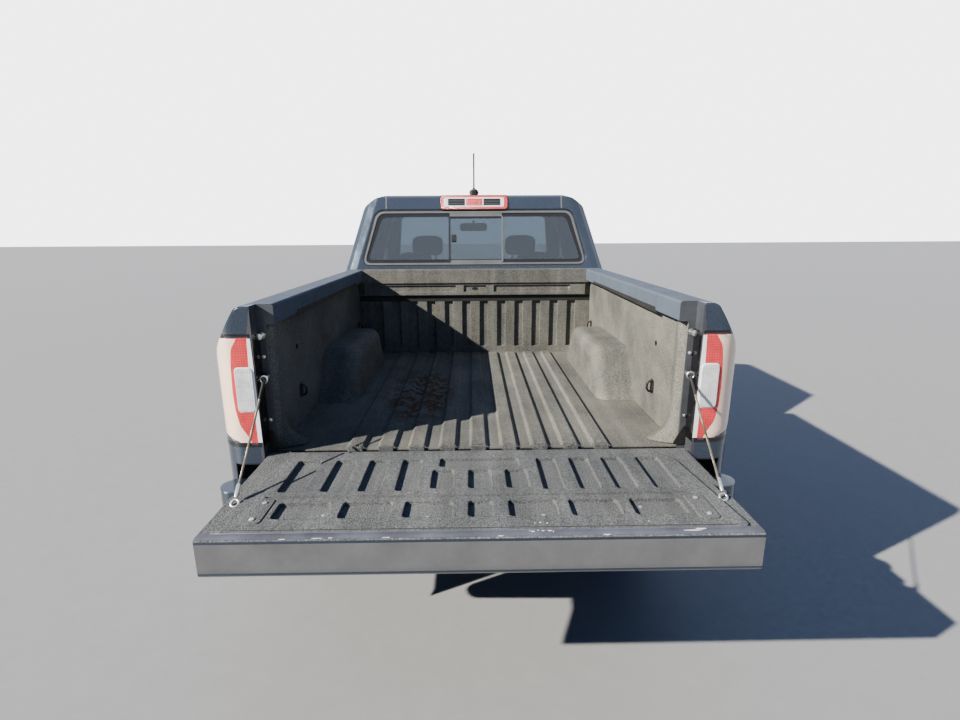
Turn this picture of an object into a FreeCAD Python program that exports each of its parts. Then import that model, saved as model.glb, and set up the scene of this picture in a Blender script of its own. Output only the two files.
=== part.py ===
# A mid-size crew-cab pickup truck with a short load box, standing on its wheels with the tailgate down.
# Units are millimetres. +X is the truck's right side, +Y is forward and +Z is up. The origin lies on the
# ground, midway between the nose and the far edge of the open tailgate.
import FreeCAD, Part
import math
import os

Vec = FreeCAD.Vector

# Stance
wheelbase = 3258.0
wheel_track = 1585.0
tyre_radius = 381.0
tyre_width = 255.0
rim_radius = 216.0
front_overhang = 950.0
floor_behind_axle = 987.0
tailgate_reach = 573.0
overall_length = front_overhang + wheelbase + floor_behind_axle + tailgate_reach
nose_y = overall_length / 2.0
front_axle_y = nose_y - front_overhang
rear_axle_y = front_axle_y - wheelbase
floor_rear_y = rear_axle_y - floor_behind_axle
tailgate_end_y = floor_rear_y - tailgate_reach
axle_z = tyre_radius
wheel_x = wheel_track / 2.0

# Body side, as half-widths at heights
sill_bottom_z = 420.0
sill_turn_z = 470.0
lower_side_z = 640.0
full_side_z = 860.0
shoulder_z = 1035.0
shoulder_top_z = 1062.0
belt_z = 1262.0
sill_half_width = 866.0
sill_turn_half_width = 906.0
lower_side_half_width = 926.0
body_half_width = 934.0
shoulder_top_half_width = 918.0
belt_half_width = 888.0
side_lean = 0.30
shut_gap = 8.0
panel_skin = 9.0

# Load box
bed_length = 1567.0
bed_width = 1468.0
between_wheelhouses = 1128.0
floor_z = 838.0
floor_sheet = 6.0
rail_top_z = 1375.0
rail_inner_half_width = 700.0
rail_outer_half_width = 806.0
rail_lip_depth = 72.0
bulkhead_thickness = 50.0
cab_gap = 28.0
bed_wall = 8.0
bed_bottom_z = 430.0
inner_wall_bottom_z = 800.0
bed_front_y = floor_rear_y + bed_length
bed_outer_front_y = bed_front_y + bulkhead_thickness
bed_rear_y = floor_rear_y - 55.0
bed_corner_radius = 95.0
bed_taper = 520.0
tail_lamp_inner_x = 768.0
bed_end_half_width = 912.0
rib_pitch = 113.0
rib_count = 9
rib_height = 12.0
rib_top_width = 50.0
rib_foot_width = 72.0
arch_radius = 432.0
arch_flare_width = 55.0
arch_flare_out = 9.0
wheelhouse_foot = 450.0
wheelhouse_crest = 285.0
wheelhouse_top_z = 1062.0
wheelhouse_rounding = 70.0
wheelhouse_wall = 8.0

# Tailgate
tailgate_half_width = 751.0
tailgate_axis_y = floor_rear_y - 24.0
tailgate_axis_z = 826.0
tailgate_face_z = 845.0
tailgate_outer_drop = 42.0
tailgate_lead = 13.0
tailgate_crown = 12.0
tailgate_lip_z = 718.0
tailgate_flange_drop = 6.0
tailgate_pocket_depth = 12.0
trunnion_radius = 12.0
trunnion_length = 26.0
pin_clearance = 0.1
cable_radius = 4.0
cable_x = 742.0
cable_foot_x = 718.0
cable_post_y = floor_rear_y - 28.0
cable_post_z = 1122.0
cable_gate_y = floor_rear_y - 388.0

# Cab
cab_rear_y = bed_outer_front_y + cab_gap
cowl_z = 1150.0
cowl_y = front_axle_y - 454.0
screen_run = 1.097
screen_flat_half_width = 440.0
high_lamp_half_width = 218.0
high_lamp_z = (1750.0, 1836.0)
screen_sweep = 0.15
roof_z = 1857.0
door_thickness = 90.0
frame_thickness = 40.0
back_wall = 60.0
rear_lean = 0.305
cabin_floor_z = 610.0
cabin_floor_sheet = 25.0
tunnel_half_width = 690.0
glass_recess = 5.0
glass_thickness = 6.0
glass_lap = 16.0

# Doors, in side view
front_door_front_y = front_axle_y - 549.0
door_split_y = front_door_front_y - 1040.0
rear_door_rear_y = cab_rear_y + 112.0
door_bottom_z = 485.0
door_top_z = 1735.0
window_sill_z = 1284.0
window_head_z = 1690.0
door_skin = 10.0
door_edge_step = 12.0
door_glass_inset = 14.0
door_glass_thickness = 5.0
hinge_axis_x = 909.0
hinge_setback = 40.0
hinge_pin_radius = 6.0
hinge_eye_radius = 12.0
hinge_heights = (660.0, 1000.0)
hinge_eye_height = 40.0
hinge_pocket_height = 64.0

# Front end
hood_half_width = 800.0
hood_gap = 6.0
cowl_tray_depth = 34.0
hood_rear_y = cowl_y + cowl_tray_depth + hood_gap
hood_front_y = nose_y - 106.0
hood_thickness = 22.0
hood_cut_z = 955.0
lamp_bottom_z = 770.0
lamp_inner_x = 566.0
grille_bottom_z = 715.0
bumper_top_z = 700.0
hood_axis_y = hood_rear_y + 15.0
hood_axis_z = 1084.0
hood_eye_radius = 13.0
hood_pin_x = (676.0, 694.0, 712.0)

# Chassis
rail_inner_x = 345.0
rail_outer_x = 425.0
front_rail_z = (460.0, 575.0)
mid_rail_z = (440.0, 575.0)
rear_rail_z = (640.0, 750.0)
kingpin_x = 700.0
spindle_radius = 28.0
knuckle_half_height = 120.0
leaf_x = 520.0
steering_wheel_centre = (-370.0, cowl_y - 600.0, 1165.0)
steering_tilt_deg = 24.0
steering_rim_radius = 188.0


def box(x0, x1, y0, y1, z0, z1):
    return Part.makeBox(x1 - x0, y1 - y0, z1 - z0, Vec(x0, y0, z0))


def side_box(side, x0, x1, y0, y1, z0, z1):
    """A box on the right (side 1) or left (side -1)."""
    low, high = sorted((side * x0, side * x1))
    return box(low, high, y0, y1, z0, z1)


def rod(start, end, radius):
    a, b = Vec(*start), Vec(*end)
    return Part.makeCylinder(radius, (b - a).Length, a, b - a)


def rounded_segments(points):
    """Turns the corners (u, v[, radius]) of a closed outline into lines and tangent arcs."""
    corners = []
    count = len(points)
    for i, point in enumerate(points):
        here = Vec(point[0], point[1], 0)
        back = Vec(points[i - 1][0], points[i - 1][1], 0) - here
        ahead = Vec(points[(i + 1) % count][0], points[(i + 1) % count][1], 0) - here
        radius = point[2] if len(point) > 2 else 0.0
        turn = math.pi - back.getAngle(ahead)
        if radius <= 0 or turn < 1e-4:
            corners.append((here, None, here))
            continue
        run = min(radius * math.tan(turn / 2), back.Length * 0.49, ahead.Length * 0.49)
        radius = run / math.tan(turn / 2)
        back.normalize()
        ahead.normalize()
        middle = back + ahead
        middle.normalize()
        depth = radius / math.cos(turn / 2) - radius
        corners.append((here + back * run, here + middle * depth, here + ahead * run))
    segments = []
    for i, (first, mid, last) in enumerate(corners):
        if mid is not None:
            segments.append((first, mid, last))
        following = corners[(i + 1) % count][0]
        if (following - last).Length > 1e-6:
            segments.append((last, following))
    return segments


def outline(points, place):
    """A closed wire of the rounded outline, with place(u, v) giving each point in space."""
    edges = []
    for segment in rounded_segments(points):
        spots = [place(p.x, p.y) for p in segment]
        if len(spots) == 2:
            edges.append(Part.makeLine(*spots))
        else:
            edges.append(Part.Arc(*spots).toShape())
    return Part.Wire(edges)


def facets(points, steps=3):
    """The outline with each rounded corner replaced by short straight lines."""
    flat = []
    for segment in rounded_segments(points):
        spots = segment
        if len(segment) == 3:
            spots = Part.Arc(*segment).toShape().discretize(steps + 1)
        for spot in spots:
            if not flat or math.hypot(spot.x - flat[-1][0], spot.y - flat[-1][1]) > 1e-6:
                flat.append((spot.x, spot.y))
    if math.hypot(flat[0][0] - flat[-1][0], flat[0][1] - flat[-1][1]) < 1e-6:
        flat.pop()
    return flat


def prism_x(points, x0, x1):
    """Extrudes a (y, z) outline from x0 to x1."""
    wire = outline(points, lambda y, z: Vec(x0, y, z))
    return Part.Face(wire).extrude(Vec(x1 - x0, 0, 0))


def prism_y(points, y0, y1):
    """Extrudes an (x, z) outline from y0 to y1."""
    wire = outline(points, lambda x, z: Vec(x, y0, z))
    return Part.Face(wire).extrude(Vec(0, y1 - y0, 0))


def prism_z(points, z0, z1):
    """Extrudes an (x, y) outline from z0 to z1."""
    wire = outline(points, lambda x, y: Vec(x, y, z0))
    return Part.Face(wire).extrude(Vec(0, 0, z1 - z0))


def mirrored(shape):
    return shape.mirror(Vec(0, 0, 0), Vec(1, 0, 0))


def both_sides(shape):
    return [shape, mirrored(shape)]


def symmetric(points):
    """Completes a right-hand half outline with its mirror image."""
    return points + [(-p[0],) + tuple(p[1:]) for p in reversed(points)]


def half_of(points):
    """Closes a right-hand half outline along the centreline."""
    return [(0.0, points[0][1])] + points + [(0.0, points[-1][1])]


def whole(right):
    """Joins a right-hand half with its mirror image across the centreline."""
    return fuse([right, mirrored(right)])


def grown(points, margin):
    """Moves a closed outline outwards by margin."""
    area = sum(points[i - 1][0] * p[1] - p[0] * points[i - 1][1] for i, p in enumerate(points))
    side = 1.0 if area > 0 else -1.0
    moved = []
    for i, point in enumerate(points):
        here = Vec(point[0], point[1], 0)
        ahead = points[(i + 1) % len(points)]
        before = here - Vec(points[i - 1][0], points[i - 1][1], 0)
        after = Vec(ahead[0], ahead[1], 0) - here
        before.normalize()
        after.normalize()
        normal = Vec(before.y, -before.x, 0) * side
        bisector = normal + Vec(after.y, -after.x, 0) * side
        bisector.normalize()
        corner = here + bisector * (margin / max(0.2, bisector.dot(normal)))
        radius = max(0.0, point[2] + margin) if len(point) > 2 else 0.0
        moved.append((corner.x, corner.y, radius))
    return moved


def fuse(shapes):
    if len(shapes) == 1:
        return shapes[0]
    return shapes[0].multiFuse(shapes[1:]).removeSplitter()


def cut(shape, tools):
    return shape.cut(Part.makeCompound(tools)) if len(tools) > 1 else shape.cut(tools[0])


def revolve_x(points, centre):
    """Revolves an (x, radius) outline about the X axis through centre."""
    wire = outline(points, lambda x, r: Vec(centre[0] + x, centre[1], centre[2] + r))
    return Part.Face(wire).revolve(Vec(*centre), Vec(1, 0, 0), 360)


def bar_along(spots, radius, bend):
    """A round bar through the spots, with arcs of the bend radius at the corners."""
    spots = [Vec(*s) for s in spots]
    edges = []
    last = spots[0]
    for before, corner, after in zip(spots, spots[1:], spots[2:]):
        back, ahead = before - corner, after - corner
        turn = math.pi - back.getAngle(ahead)
        run = min(bend * math.tan(turn / 2), back.Length * 0.45, ahead.Length * 0.45)
        arc = run / math.tan(turn / 2)
        back.normalize()
        ahead.normalize()
        middle = back + ahead
        middle.normalize()
        first = corner + back * run
        second = corner + ahead * run
        edges.append(Part.makeLine(last, first))
        edges.append(Part.Arc(first, corner + middle * (arc / math.cos(turn / 2) - arc), second).toShape())
        last = second
    edges.append(Part.makeLine(last, spots[-1]))
    ring = Part.Wire(Part.makeCircle(radius, spots[0], spots[1] - spots[0]))
    return Part.Wire(edges).makePipeShell([ring], True, False)


def screen_y(z):
    """The windscreen's centreline in side view."""
    return cowl_y - (z - cowl_z) * screen_run


def rear_y(z):
    """The cab's leaning back above the belt."""
    return cab_rear_y + max(0.0, z - belt_z) * rear_lean


def upper_half_width(z):
    """Half-width of the cab above the shoulder."""
    if z <= belt_z:
        share = (z - shoulder_top_z) / (belt_z - shoulder_top_z)
        return shoulder_top_half_width + (belt_half_width - shoulder_top_half_width) * share
    return belt_half_width - 4.0 - (z - belt_z) * side_lean


def lower_section(inset):
    """Right half of the body's cross-section from the sill to the cowl height."""
    return [
        (sill_half_width - inset, sill_bottom_z, 0),
        (sill_turn_half_width - inset, sill_turn_z, 25),
        (lower_side_half_width - inset, lower_side_z, 500),
        (body_half_width - inset, full_side_z, 900),
        (body_half_width - inset, shoulder_z, 12),
        (shoulder_top_half_width - inset, shoulder_top_z, 16),
        (upper_half_width(cowl_z) - inset, cowl_z, 0),
    ]


def leaning_prism(points, z0, z1, dx, dy):
    """Extrudes an (x, y) outline upwards along a line that shifts by dx and dy for each unit of height."""
    face = Part.Face(outline(points, lambda x, y: Vec(x, y, z0)))
    return face.extrude(Vec(dx, dy, 1) * (z1 - z0))


def screen_corner_prism(half_width, z0, z1, front, lean):
    """Everything behind the swept side of the windscreen and the rounded windscreen pillar."""
    y = screen_y(z0) - front
    corner_y = y - (half_width - screen_flat_half_width) * screen_sweep
    plan = facets([
        (-10.0, cab_rear_y - 300, 0),
        (half_width + 90.0, cab_rear_y - 300, 0),
        (half_width + 90.0, corner_y - 300, 0),
        (half_width - 13.0, corner_y - 30, 60),
        (half_width - 60.0, corner_y + 60 * screen_sweep, 40),
        (-10.0, y + (screen_flat_half_width + 10) * screen_sweep, 0),
    ])
    return leaning_prism(plan, z0, z1, -lean, -screen_run + lean * screen_sweep)


def cab_volume(low, high, back, front, bottom_z):
    """The right half of the cab's volume, drawn in from its skin by the given amounts."""
    rear = cab_rear_y + back
    top_z = roof_z + 60.0
    lower = prism_y(facets(half_of(lower_section(low)), 3), rear, cowl_y - front)
    if bottom_z > sill_bottom_z:
        lower = lower.common(box(0, 1000, rear, cowl_y, bottom_z, cowl_z))
    low_width = upper_half_width(cowl_z) - low
    flank = [(0, cowl_z), (low_width, cowl_z), (belt_half_width - low, belt_z), (0, belt_z)]
    middle = prism_y(flank, rear, cowl_y + 200)
    lean = (low_width + low - belt_half_width) / (belt_z - cowl_z)
    middle = middle.common(screen_corner_prism(low_width, cowl_z - 20, belt_z + 20, front - 22, lean))
    middle = middle.common(prism_x([(rear - 90, cowl_z - 90), (rear - 90, belt_z + 90),
                                    (screen_y(belt_z + 90) - front, belt_z + 90),
                                    (screen_y(cowl_z - 90) - front, cowl_z - 90)], -5, 1000))
    half_width = belt_half_width - 4.0 - high
    upper = leaning_prism(facets([(0, rear, 0), (half_width, rear, max(20.0, 85.0 - high)),
                                  (half_width, cowl_y + 900, 0), (0, cowl_y + 900, 0)]),
                          belt_z, top_z, -side_lean, rear_lean)
    upper = upper.common(screen_corner_prism(half_width, belt_z - 20, top_z + 20, front - 22, side_lean))
    crown = facets(half_of([
        (1000.0, belt_z - 130, 0),
        (1000.0, 1408.0, 0),
        (735.0 - high * 0.75, 1747.0 - high * 0.7, 30),
        (712.0 - high * 0.6, 1775.0 - high * 0.85, 60),
        (650.0 - high * 0.45, 1818.0 - high * 0.92, 60),
        (585.0 - high * 0.35, 1838.0 - high * 0.95, 150),
        (230.0, roof_z + 1.0 - high, 2400),
    ]), 3)
    rim_y = rear_y(1838.0) + high * 0.45
    profile = facets([
        (rim_y - 270, belt_z - 120, 0),
        (rim_y - 270, 1586.0 - high, 0),
        (rim_y + 12, 1838.0 - high, 60),
        (rim_y + 260, 1850.0 - high, 900),
        (rim_y + 640, roof_z + 1.0 - high, 2500),
        (screen_y(1756.0) - 260, 1840.0 - high, 900),
        (screen_y(1770.0) - high * 0.8, 1770.0 - high, 170),
        (screen_y(1690.0) - front - 3, 1690.0, 0),
        (screen_y(belt_z - 120) - front - 3, belt_z - 120, 0),
    ], 4)
    upper = upper.common(prism_y(crown, rear - 100, cowl_y + 100)).common(prism_x(profile, -5, 1000))
    return fuse([lower, middle, upper])


# Outlines of the doors and windows in side view, as (y, z, radius)
front_door_outline = [
    (front_door_front_y, door_bottom_z, 40),
    (front_door_front_y, 1150.0, 60),
    (front_door_front_y - 52, 1250.0, 120),
    (screen_y(door_top_z) - 118, door_top_z, 90),
    (door_split_y + shut_gap / 2, door_top_z, 25),
    (door_split_y + shut_gap / 2, door_bottom_z, 40),
]
rear_door_outline = [
    (door_split_y - shut_gap / 2, door_bottom_z, 40),
    (door_split_y - shut_gap / 2, door_top_z, 25),
    (rear_door_rear_y + 152, door_top_z, 90),
    (rear_door_rear_y + 16, 1310.0, 200),
    (rear_door_rear_y, 900.0, 120),
    (rear_door_rear_y + 128, 640.0, 160),
    (rear_door_rear_y + 190, door_bottom_z, 40),
]
front_window_outline = [
    (front_door_front_y - 118, window_sill_z, 30),
    (screen_y(window_head_z) - 168, window_head_z, 70),
    (door_split_y + 68, window_head_z, 30),
    (door_split_y + 68, window_sill_z, 30),
]
rear_window_outline = [
    (door_split_y - 68, window_sill_z, 30),
    (door_split_y - 68, window_head_z, 30),
    (rear_door_rear_y + 215, window_head_z - 6, 80),
    (rear_door_rear_y + 92, window_sill_z, 60),
]
screen_outline = symmetric([(765.0, cowl_z + 42, 60), (640.0, 1740.0, 70)])
rear_glass_outline = symmetric([(722.0, 1400.0, 45), (632.0, 1730.0, 55)])


def cabin():
    return cab_volume(door_thickness, frame_thickness, back_wall, back_wall, cabin_floor_z)


def pillar_band():
    """The layer just inside the doors, for the pillars and rails they close on."""
    outer = cab_volume(door_thickness + 20, frame_thickness + 14, back_wall, back_wall, cabin_floor_z)
    inner = cab_volume(door_thickness + 75, frame_thickness + 50, back_wall, back_wall, cabin_floor_z)
    return outer.cut(inner)


def cab_shell(outer, inner):
    band = pillar_band()
    posts = box(300, 1000, door_split_y - 62, door_split_y + 62, cabin_floor_z, 1845)
    rear_post = box(300, 1000, cab_rear_y, rear_door_rear_y + 20, cabin_floor_z, 1845)
    front_post = box(300, 1000, front_door_front_y - 8, cowl_y, cabin_floor_z, cowl_z)
    shell = outer.cut(inner)
    channel = box(-tunnel_half_width, tunnel_half_width, cab_rear_y - 50, cowl_y + 50,
                  sill_bottom_z - 50, cabin_floor_z - cabin_floor_sheet)
    wide = [prism_x(grown(o, shut_gap), 300, 1000) for o in (front_door_outline, rear_door_outline)]
    door_zone = cab_volume(door_thickness + 6, frame_thickness + 6, 0, 0, 0)
    doorways = [w.cut(door_zone) for w in wide]
    hinge_room = box(300, 1000, front_door_front_y, front_door_front_y + 17, door_bottom_z - 8, 1100)
    hinge_room = hinge_room.cut(door_zone)
    bay = box(300, 1000, front_door_front_y + shut_gap, cowl_y + 60, sill_bottom_z - 20, cowl_z + 200)
    bay = bay.cut(cab_volume(panel_skin + 4, panel_skin + 4, -80, -80, 0))
    bay = bay.common(box(300, 1000, front_door_front_y, cowl_y + 60, 0, cowl_z - 5))
    openings = [
        prism_y(screen_outline, cowl_y - 900, cowl_y + 100),
        prism_y(rear_glass_outline, cab_rear_y - 50, cab_rear_y + 400),
    ]
    seat = glass_recess + glass_thickness
    rebate = outer.cut(cab_volume(seat, seat, seat, seat, 0))
    rebates = [
        rebate.common(prism_y(grown(screen_outline, glass_lap), cowl_y - 900, cowl_y + 100)),
        rebate.common(prism_y(grown(rear_glass_outline, glass_lap), cab_rear_y - 50, cab_rear_y + 400)),
    ]
    shell = cut(shell, [channel] + doorways + [hinge_room, bay] + openings + rebates)
    ties = [
        box(725, 786, door_split_y - 62, door_split_y + 62, 1235, belt_z),
        box(725, 829, door_split_y - 62, door_split_y + 62, belt_z, 1292),
        box(628, 668, door_split_y - 62, door_split_y + 62, 1730, 1797),
    ]
    shell = shell.fuse([band.common(posts), band.common(rear_post), band.common(front_post)] + ties)
    shell = cut(shell, openings)
    eyes = []
    for edge in (front_door_front_y, door_split_y - shut_gap / 2):
        for z in hinge_heights:
            eyes.append(hinge_arm(edge, z))
    return whole(shell.fuse(eyes))


def hinge_arm(edge, z):
    """A body-side hinge: an eye round the door's pin and an arm reaching forward to the post."""
    pin_y = edge - hinge_setback
    low, high = z - hinge_eye_height / 2, z + hinge_eye_height / 2
    eye = Part.makeCylinder(hinge_eye_radius, hinge_eye_height, Vec(hinge_axis_x, pin_y, low))
    inward = box(hinge_axis_x - 52, hinge_axis_x, pin_y - 6, pin_y + 6, low, high)
    reach = 34.0 if edge > door_split_y else 20.0
    forward = box(hinge_axis_x - 52, hinge_axis_x - 40, pin_y - 6, edge + reach, low, high)
    arm = fuse([eye, inward, forward])
    if edge < door_split_y:
        arm = fuse([arm, box(hinge_axis_x - 92, hinge_axis_x - 40, edge - 8, edge + 4, low, high)])
    return arm.cut(Part.makeCylinder(hinge_pin_radius + pin_clearance, 100, Vec(hinge_axis_x, pin_y, z - 50)))


def door(outer, inside, door_outline, window_outline, edge):
    """A right-hand door with its glass."""
    whole_prism = prism_x(door_outline, 300, 1000)
    rim = whole_prism.cut(prism_x(grown(door_outline, -door_edge_step), 300, 1000))
    step = cab_volume(door_skin, door_skin, 0, 0, 0).common(rim)
    panel = outer.common(whole_prism).cut(inside).cut(step)
    pane = prism_x(grown(window_outline, glass_lap), 300, 1000)
    glass = cab_volume(door_glass_inset, door_glass_inset, 0, 0, 0).common(pane)
    inner_face = door_glass_inset + door_glass_thickness
    glass = glass.cut(cab_volume(inner_face, inner_face, 0, 0, 0))
    corner = box(700, 812, edge - 110, edge + 10, 1150, belt_z + 8)
    panel = panel.cut(prism_x(window_outline, 300, 1000)).cut(glass).cut(corner)
    pin_y = edge - hinge_setback
    for z in hinge_heights:
        pocket = box(820, body_half_width - door_skin - 2, pin_y - 26, edge + 5, z - hinge_pocket_height / 2,
                     z + hinge_pocket_height / 2)
        panel = panel.cut(pocket)
        pin = Part.makeCylinder(hinge_pin_radius, hinge_pocket_height + 8,
                                Vec(hinge_axis_x, pin_y, z - hinge_pocket_height / 2 - 4))
        panel = panel.fuse(pin)
    handle_y = door_outline[-1][0] + 150 if edge > door_split_y else door_outline[3][0] + 150
    handle = box(body_half_width - 36, body_half_width + 30, handle_y - 95, handle_y + 95, 1098, 1124)
    handle = handle.makeFillet(9, [e for e in handle.Edges if e.Vertexes[0].X > 940 and e.Vertexes[1].X > 940])
    grip = box(body_half_width - 40, body_half_width + 16, handle_y - 70, handle_y + 70, 1094, 1128)
    panel = panel.fuse(handle.cut(grip))
    return panel, glass


def mirror_right():
    arm = box(880, 960, front_door_front_y - 185, front_door_front_y - 135, 1262, 1300)
    housing = prism_y([(940, 1262, 40), (1066, 1276, 45), (1062, 1442, 50), (948, 1442, 40)],
                      front_door_front_y - 225, front_door_front_y - 105)
    face = prism_y([(952, 1274, 28), (1054, 1286, 34), (1050, 1430, 38), (958, 1430, 28)],
                   front_door_front_y - 226, front_door_front_y - 215)
    foot = box(868, 902, front_door_front_y - 200, front_door_front_y - 120, 1226, 1280)
    return fuse([arm, housing, foot]).cut(face)


def front_volume(inset, front_inset):
    """The right half of the nose ahead of the cab, drawn in from its skin."""
    section = lower_section(inset)[:-1]
    section = section + [(upper_half_width(cowl_z - 20) - inset, 1200.0, 0)]
    body = prism_y(half_of(section), front_door_front_y + shut_gap, nose_y)
    profile = [
        (front_door_front_y - 10, 1134.0 - front_inset, 0),
        (hood_rear_y, 1126.0 - front_inset, 600),
        (nose_y - 420, 1062.0 - front_inset, 900),
        (nose_y - 75 - front_inset, 985.0 - front_inset, 110),
        (nose_y - 12 - front_inset, 800.0, 300),
        (nose_y - front_inset, 600.0, 60),
        (nose_y - 60 - front_inset, 420.0, 60),
        (nose_y - 120, 380.0, 0),
        (front_door_front_y - 10, 380.0, 0),
    ]
    plan = half_of([
        (body_half_width + 1 - inset, front_door_front_y - 10, 0),
        (body_half_width + 1 - inset, front_axle_y + 420, 700),
        (875.0 - inset, nose_y - 265, 330),
        (690.0 - inset, nose_y - 62 - front_inset, 260),
        (330.0, nose_y + 0.5 - front_inset, 2400),
    ])
    body = body.common(prism_x(profile, -1000, 1000))
    return body.common(prism_z(plan, 380, 1200))


def arch_disc(centre_y, radius, x0, x1):
    return Part.makeCylinder(radius, x1 - x0, Vec(x0, centre_y, axle_z + 6), Vec(1, 0, 0))


def arch_flare(centre_y):
    """The raised lip round a right-hand wheel arch."""
    inner_x = body_half_width - 14
    ring = arch_disc(centre_y, arch_radius + arch_flare_width, inner_x, body_half_width + arch_flare_out)
    ring = ring.cut(arch_disc(centre_y, arch_radius, inner_x - 5, body_half_width + 30))
    trim = box(inner_x - 5, body_half_width + 40, centre_y - 600, centre_y + 600, -200, sill_turn_z + 15)
    return ring.cut(trim)


def front_zones():
    """The parts of the nose given over to the lamps, grille and bumper."""
    lamp = prism_y([(lamp_inner_x, lamp_bottom_z, 25), (lamp_inner_x + 10, 957, 30), (940, 985, 40),
                    (945, 850, 40)], nose_y - 430, nose_y + 10)
    grille = box(-lamp_inner_x + 8, lamp_inner_x - 8, nose_y - 130, nose_y + 10, grille_bottom_z, 940)
    bumper = box(-1000, 1000, front_axle_y + arch_radius + 25, nose_y + 10, 400, bumper_top_z)
    return lamp, grille, bumper


def fender_right(outer, lamp, grille, bumper):
    inside = front_volume(panel_skin, panel_skin)
    skin = outer.cut(inside).common(box(hood_half_width - 200, 1000, front_door_front_y, nose_y, 400, 1200))
    hood_zone = box(-1000, hood_half_width + hood_gap, cowl_y, nose_y, hood_cut_z, 1200)
    below = box(0, 700, front_door_front_y, nose_y, 0, 1060)
    skin = cut(skin, [hood_zone, arch_disc(front_axle_y, arch_radius, 500, 1000), lamp, grille, bumper, below])
    cowl_side = box(0, 899, front_door_front_y, hood_rear_y, 400, 1200)
    return fuse([skin.cut(cowl_side), arch_flare(front_axle_y)])


def hood(outer):
    inside = front_volume(hood_thickness, hood_thickness)
    slab = outer.cut(inside)
    zone = box(-hood_half_width, hood_half_width, hood_rear_y, nose_y - 20, hood_cut_z + 8, 1200)
    under = front_volume(hood_thickness - 2, hood_thickness - 2)
    tab = box(hood_pin_x[1] + 4, hood_pin_x[2], hood_axis_y - 10, hood_axis_y + 30, hood_axis_z - 12, 1120)
    pin = rod((hood_pin_x[0] - 6, hood_axis_y, hood_axis_z), (hood_pin_x[2], hood_axis_y, hood_axis_z),
              hinge_pin_radius)
    return whole(fuse([slab.common(zone), tab.common(under), pin]))


def headlamps(lamp_zone):
    solid = front_volume(2, 2).cut(front_volume(60, 60)).common(lamp_zone)
    trimmed = solid.common(box(0, 1000, nose_y - 420, nose_y, lamp_bottom_z, hood_cut_z - 2))
    return Part.makeCompound(both_sides(trimmed))


def grille_piece(zone):
    frame = front_volume(1, 1).cut(front_volume(40, 40)).common(zone)
    frame = frame.common(box(-1000, 1000, 0, nose_y + 10, grille_bottom_z, hood_cut_z - 6))
    holes = []
    for i in range(3):
        z0 = grille_bottom_z + 26 + i * 68
        holes.append(box(-lamp_inner_x + 40, lamp_inner_x - 40, nose_y - 200, nose_y + 10, z0, z0 + 48))
    backing = front_volume(34, 34).cut(front_volume(44, 44)).common(zone)
    backing = backing.common(box(-540, 540, 0, nose_y, grille_bottom_z + 10, hood_cut_z - 20))
    stays = box(280, 320, nose_y - 300, nose_y - 30, 915, 935).common(front_volume(36, 36))
    return whole(fuse([cut(frame, holes), backing, stays]))


def front_bumper(zone):
    skin = front_volume(0, 0).cut(front_volume(14, 14)).common(zone)
    skin = skin.common(box(-1000, 1000, 0, nose_y + 10, sill_bottom_z, bumper_top_z))
    intake = box(-520, 520, nose_y - 100, nose_y + 10, 500, 600)
    beam = box(-700, 700, nose_y - 130, nose_y - 90, 520, 640)
    brackets = [side_box(s, 355, 415, nose_y - 300, nose_y - 100, 525, 570) for s in (-1, 1)]
    ties = [side_box(s, 540, 590, nose_y - 115, nose_y - 40, 610, 640) for s in (-1, 1)]
    return fuse([whole(skin.cut(intake)), beam] + brackets + ties)


def front_structure():
    """Radiator, its support and the inner aprons that carry the fenders."""
    y0, y1 = nose_y - 338, nose_y - 300
    pieces = [
        box(-640, 640, y0, y1, front_rail_z[1], front_rail_z[1] + 40),
        box(-320, 320, y0, y1 - 4, front_rail_z[1] + 40, 905),
        box(-740, 740, y0, y1, 900, 950),
    ]
    for s in (-1, 1):
        pieces.append(side_box(s, 560, 640, y0, y1, front_rail_z[1] + 40, 900))
        pieces.append(side_box(s, 600, 640, cowl_y, y0, 830, 940))
        pieces.append(side_box(s, 640, hood_pin_x[1], cowl_y + 10, hood_axis_y + 12, 900, 940))
        pieces.append(side_box(s, hood_pin_x[0], hood_pin_x[1], hood_axis_y - 11, hood_axis_y + 11, 930,
                               hood_axis_z))
        pieces.append(side_box(s, hood_pin_x[0], hood_pin_x[1], cowl_y, hood_axis_y, 1050, 1066))
        pieces.append(rod((s * hood_pin_x[0], hood_axis_y, hood_axis_z),
                          (s * hood_pin_x[1], hood_axis_y, hood_axis_z), hood_eye_radius))
        pieces.append(side_box(s, 640, body_half_width - panel_skin, cowl_y + 60, front_axle_y + 300, 932, 940))
    stop = box(560, 600, y0, y1, 950, 1100).common(front_volume(hood_thickness, hood_thickness))
    pieces += both_sides(stop)
    pieces.append(box(-hood_pin_x[1], hood_pin_x[1], cowl_y, cowl_y + cowl_tray_depth, 1050, 1066))
    bores = [rod((s * (hood_pin_x[0] - 10), hood_axis_y, hood_axis_z),
                 (s * (hood_pin_x[1] + 10), hood_axis_y, hood_axis_z),
                 hinge_pin_radius + pin_clearance) for s in (-1, 1)]
    return cut(fuse(pieces), bores)


def bed_half_section():
    outer = lower_section(0)[:-2]
    outer += [
        (shoulder_top_half_width, shoulder_top_z, 16),
        (904.0, 1215.0, 60),
        (rail_outer_half_width, rail_top_z, 34),
        (rail_inner_half_width + 20, rail_top_z, 8),
    ]
    return outer


def bed_plan(inset):
    """The right-hand bed side seen from above, narrowing to its rounded rear corner."""
    front, rear = bed_outer_front_y + 1 - inset, bed_rear_y + inset
    side = body_half_width + 11 - inset
    return prism_z([
        (600, front),
        (side, front),
        (side, bed_rear_y + bed_taper),
        (bed_end_half_width - inset, rear, bed_corner_radius - inset),
        (600, rear),
    ], 300, 1500)


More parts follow.
